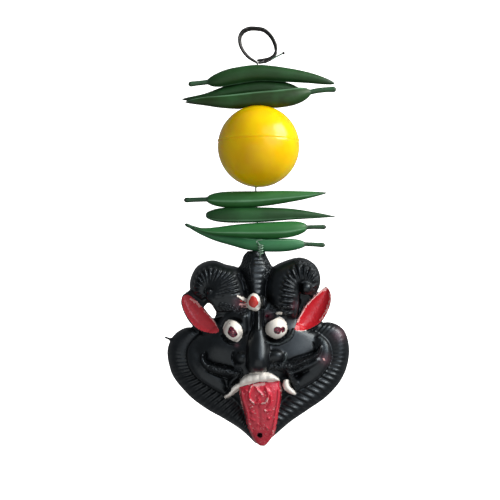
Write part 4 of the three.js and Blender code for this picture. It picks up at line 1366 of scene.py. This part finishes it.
# The red differs a little between the tongue, the ears and the brow's mark.
tints = np.tile(linear("#bd293a"), (len(points), 1))
tints[points[:, 0] < -EARS_FROM] = linear("#b83840")
tints[points[:, 0] > EARS_FROM] = linear("#b01c26")
tints[(points[:, 2] > MARK_OVER) & (abs(points[:, 0]) < MARK_WIDE)] = linear("#b03028")
mask.data.attributes.new("red_tint", "FLOAT_COLOR", "POINT").data.foreach_set("color", tints.ravel())

# Black moulded plastic, satin and dusty in its grain, with painted highlights in grey on a few ridges, under
# glossy hand-brushed enamel: warm white and deep red with uneven edges, dark red pupils, and pale pink that
# is partly thin red and partly painted highlights and glints. The brush marks, the grain and the pits are
# drawn coarser than real ones, which are too fine to show.
BRUSH_MARK = 1.111
DUST = 2.857
PIT = 1
black, tree = new_material("black_moulded_plastic")
place = add(tree, "ShaderNodeTexCoord")
wobble = add(tree, "ShaderNodeTexNoise", {
    "Vector": place.outputs["Object"],
    "Scale": 1 / (BRUSH_MARK * MM),
    "Detail": 3,
})
grain = add(tree, "ShaderNodeTexNoise", {
    "Vector": place.outputs["Object"],
    "Scale": 1 / (DUST * MM),
    "Detail": 5,
    "Roughness": 0.65,
})


def painted(enamel, ragged=0.2):
    """Where an enamel lies: 1 inside its outlines, with an uneven brushed edge."""
    depth = add(tree, "ShaderNodeAttribute", attribute_name=enamel)
    uneven = add(tree, "ShaderNodeMapRange", {
        "Value": wobble.outputs["Fac"],
        "From Min": 0.3,
        "From Max": 0.7,
        "To Min": -ragged,
        "To Max": ragged,
    })
    edge = add(tree, "ShaderNodeMath", {0: depth.outputs["Fac"], 1: uneven.outputs["Result"]})
    sharp = add(tree, "ShaderNodeMapRange", {
        "Value": edge.outputs["Value"],
        "From Min": -0.3 * ragged,
        "From Max": 0.3 * ragged,
    })
    return sharp.outputs["Result"]


dusty = add(tree, "ShaderNodeMapRange", {
    "Value": grain.outputs["Fac"],
    "From Min": 0.4,
    "From Max": 0.75,
})
smear = add(tree, "ShaderNodeAttribute", attribute_name="smear")
smudge = add(tree, "ShaderNodeMath", {
    0: smear.outputs["Fac"],
    1: wobble.outputs["Fac"],
}, operation="MULTIPLY")
# How much of the grey painted ridge highlight covers the skin.
ridge_highlight_share = add(tree, "ShaderNodeMath", {0: painted("painted_ridge_highlight", 0.6), 1: 0.6}, operation="MULTIPLY")
white = painted("white")
red = painted("red")
tint = add(tree, "ShaderNodeAttribute", attribute_name="red_tint")
mottled = add(tree, "ShaderNodeMapRange", {
    "Value": wobble.outputs["Fac"],
    "From Min": 0.42,
    "From Max": 0.6,
})
iris = add(tree, "ShaderNodeMix", {
    0: mottled.outputs["Result"],
    6: linear("#6a1a2e"),
    7: linear("#1e0c14"),
}, data_type="RGBA")

# Each coat covers the ones before it where its share is 1. The grey coat is the painted highlight on ridges,
# and the pale coat is partly thin red and partly painted highlights and glints.
skin = linear("#08090b")
for share, coat in [
    (dusty.outputs["Result"], linear("#15181a")),
    (smudge.outputs["Value"], linear("#63404a")),
    (ridge_highlight_share.outputs["Value"], linear("#4c5456")),
    (white, linear("#e1dcd4")),
    (red, tint.outputs["Color"]),
    (painted("pupil"), iris.outputs[2]),
    (painted("pale", 0.45), linear("#cf9a98")),
]:
    layer = add(tree, "ShaderNodeMix", {0: share, 6: skin, 7: coat}, data_type="RGBA")
    skin = layer.outputs[2]
gloss = add(tree, "ShaderNodeMath", {0: white, 1: red}, operation="MAXIMUM")
roughness = add(tree, "ShaderNodeMapRange", {
    "Value": gloss.outputs["Value"],
    "To Min": 0.35,
    "To Max": 0.22,
})
pits = add(tree, "ShaderNodeTexVoronoi", {
    "Vector": place.outputs["Object"],
    "Scale": 1 / (PIT * MM),
})
stippled = add(tree, "ShaderNodeMath", {
    0: pits.outputs["Distance"],
    1: painted("stipple", 0.6),
}, operation="MULTIPLY")
punched = add(tree, "ShaderNodeBump", {
    "Height": stippled.outputs["Value"],
    "Strength": 1,
    "Distance": 0.6 * MM,
})
brushed = add(tree, "ShaderNodeMath", {0: wobble.outputs["Fac"], 1: red}, operation="MULTIPLY")
paint = add(tree, "ShaderNodeBump", {
    "Height": brushed.outputs["Value"],
    "Strength": 0.7,
    "Distance": 0.35 * MM,
    "Normal": punched.outputs["Normal"],
})
bumps = add(tree, "ShaderNodeBump", {
    "Height": grain.outputs["Fac"],
    "Strength": 0.3,
    "Distance": 0.25 * MM,
    "Normal": paint.outputs["Normal"],
})
surface = add(tree, "ShaderNodeBsdfPrincipled", {
    "Base Color": skin,
    "Roughness": roughness.outputs["Result"],
    "IOR": 1.42,
    "Specular Tint": linear("#e6f4ff"),
    "Normal": bumps.outputs["Normal"],
})
add(tree, "ShaderNodeOutputMaterial", {"Surface": surface.outputs["BSDF"]})
mask.data.materials.clear()
mask.data.materials.append(black)
mask.data.polygons.foreach_set("material_index", [0] * len(mask.data.polygons))
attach(mask, "root")
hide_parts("mask")
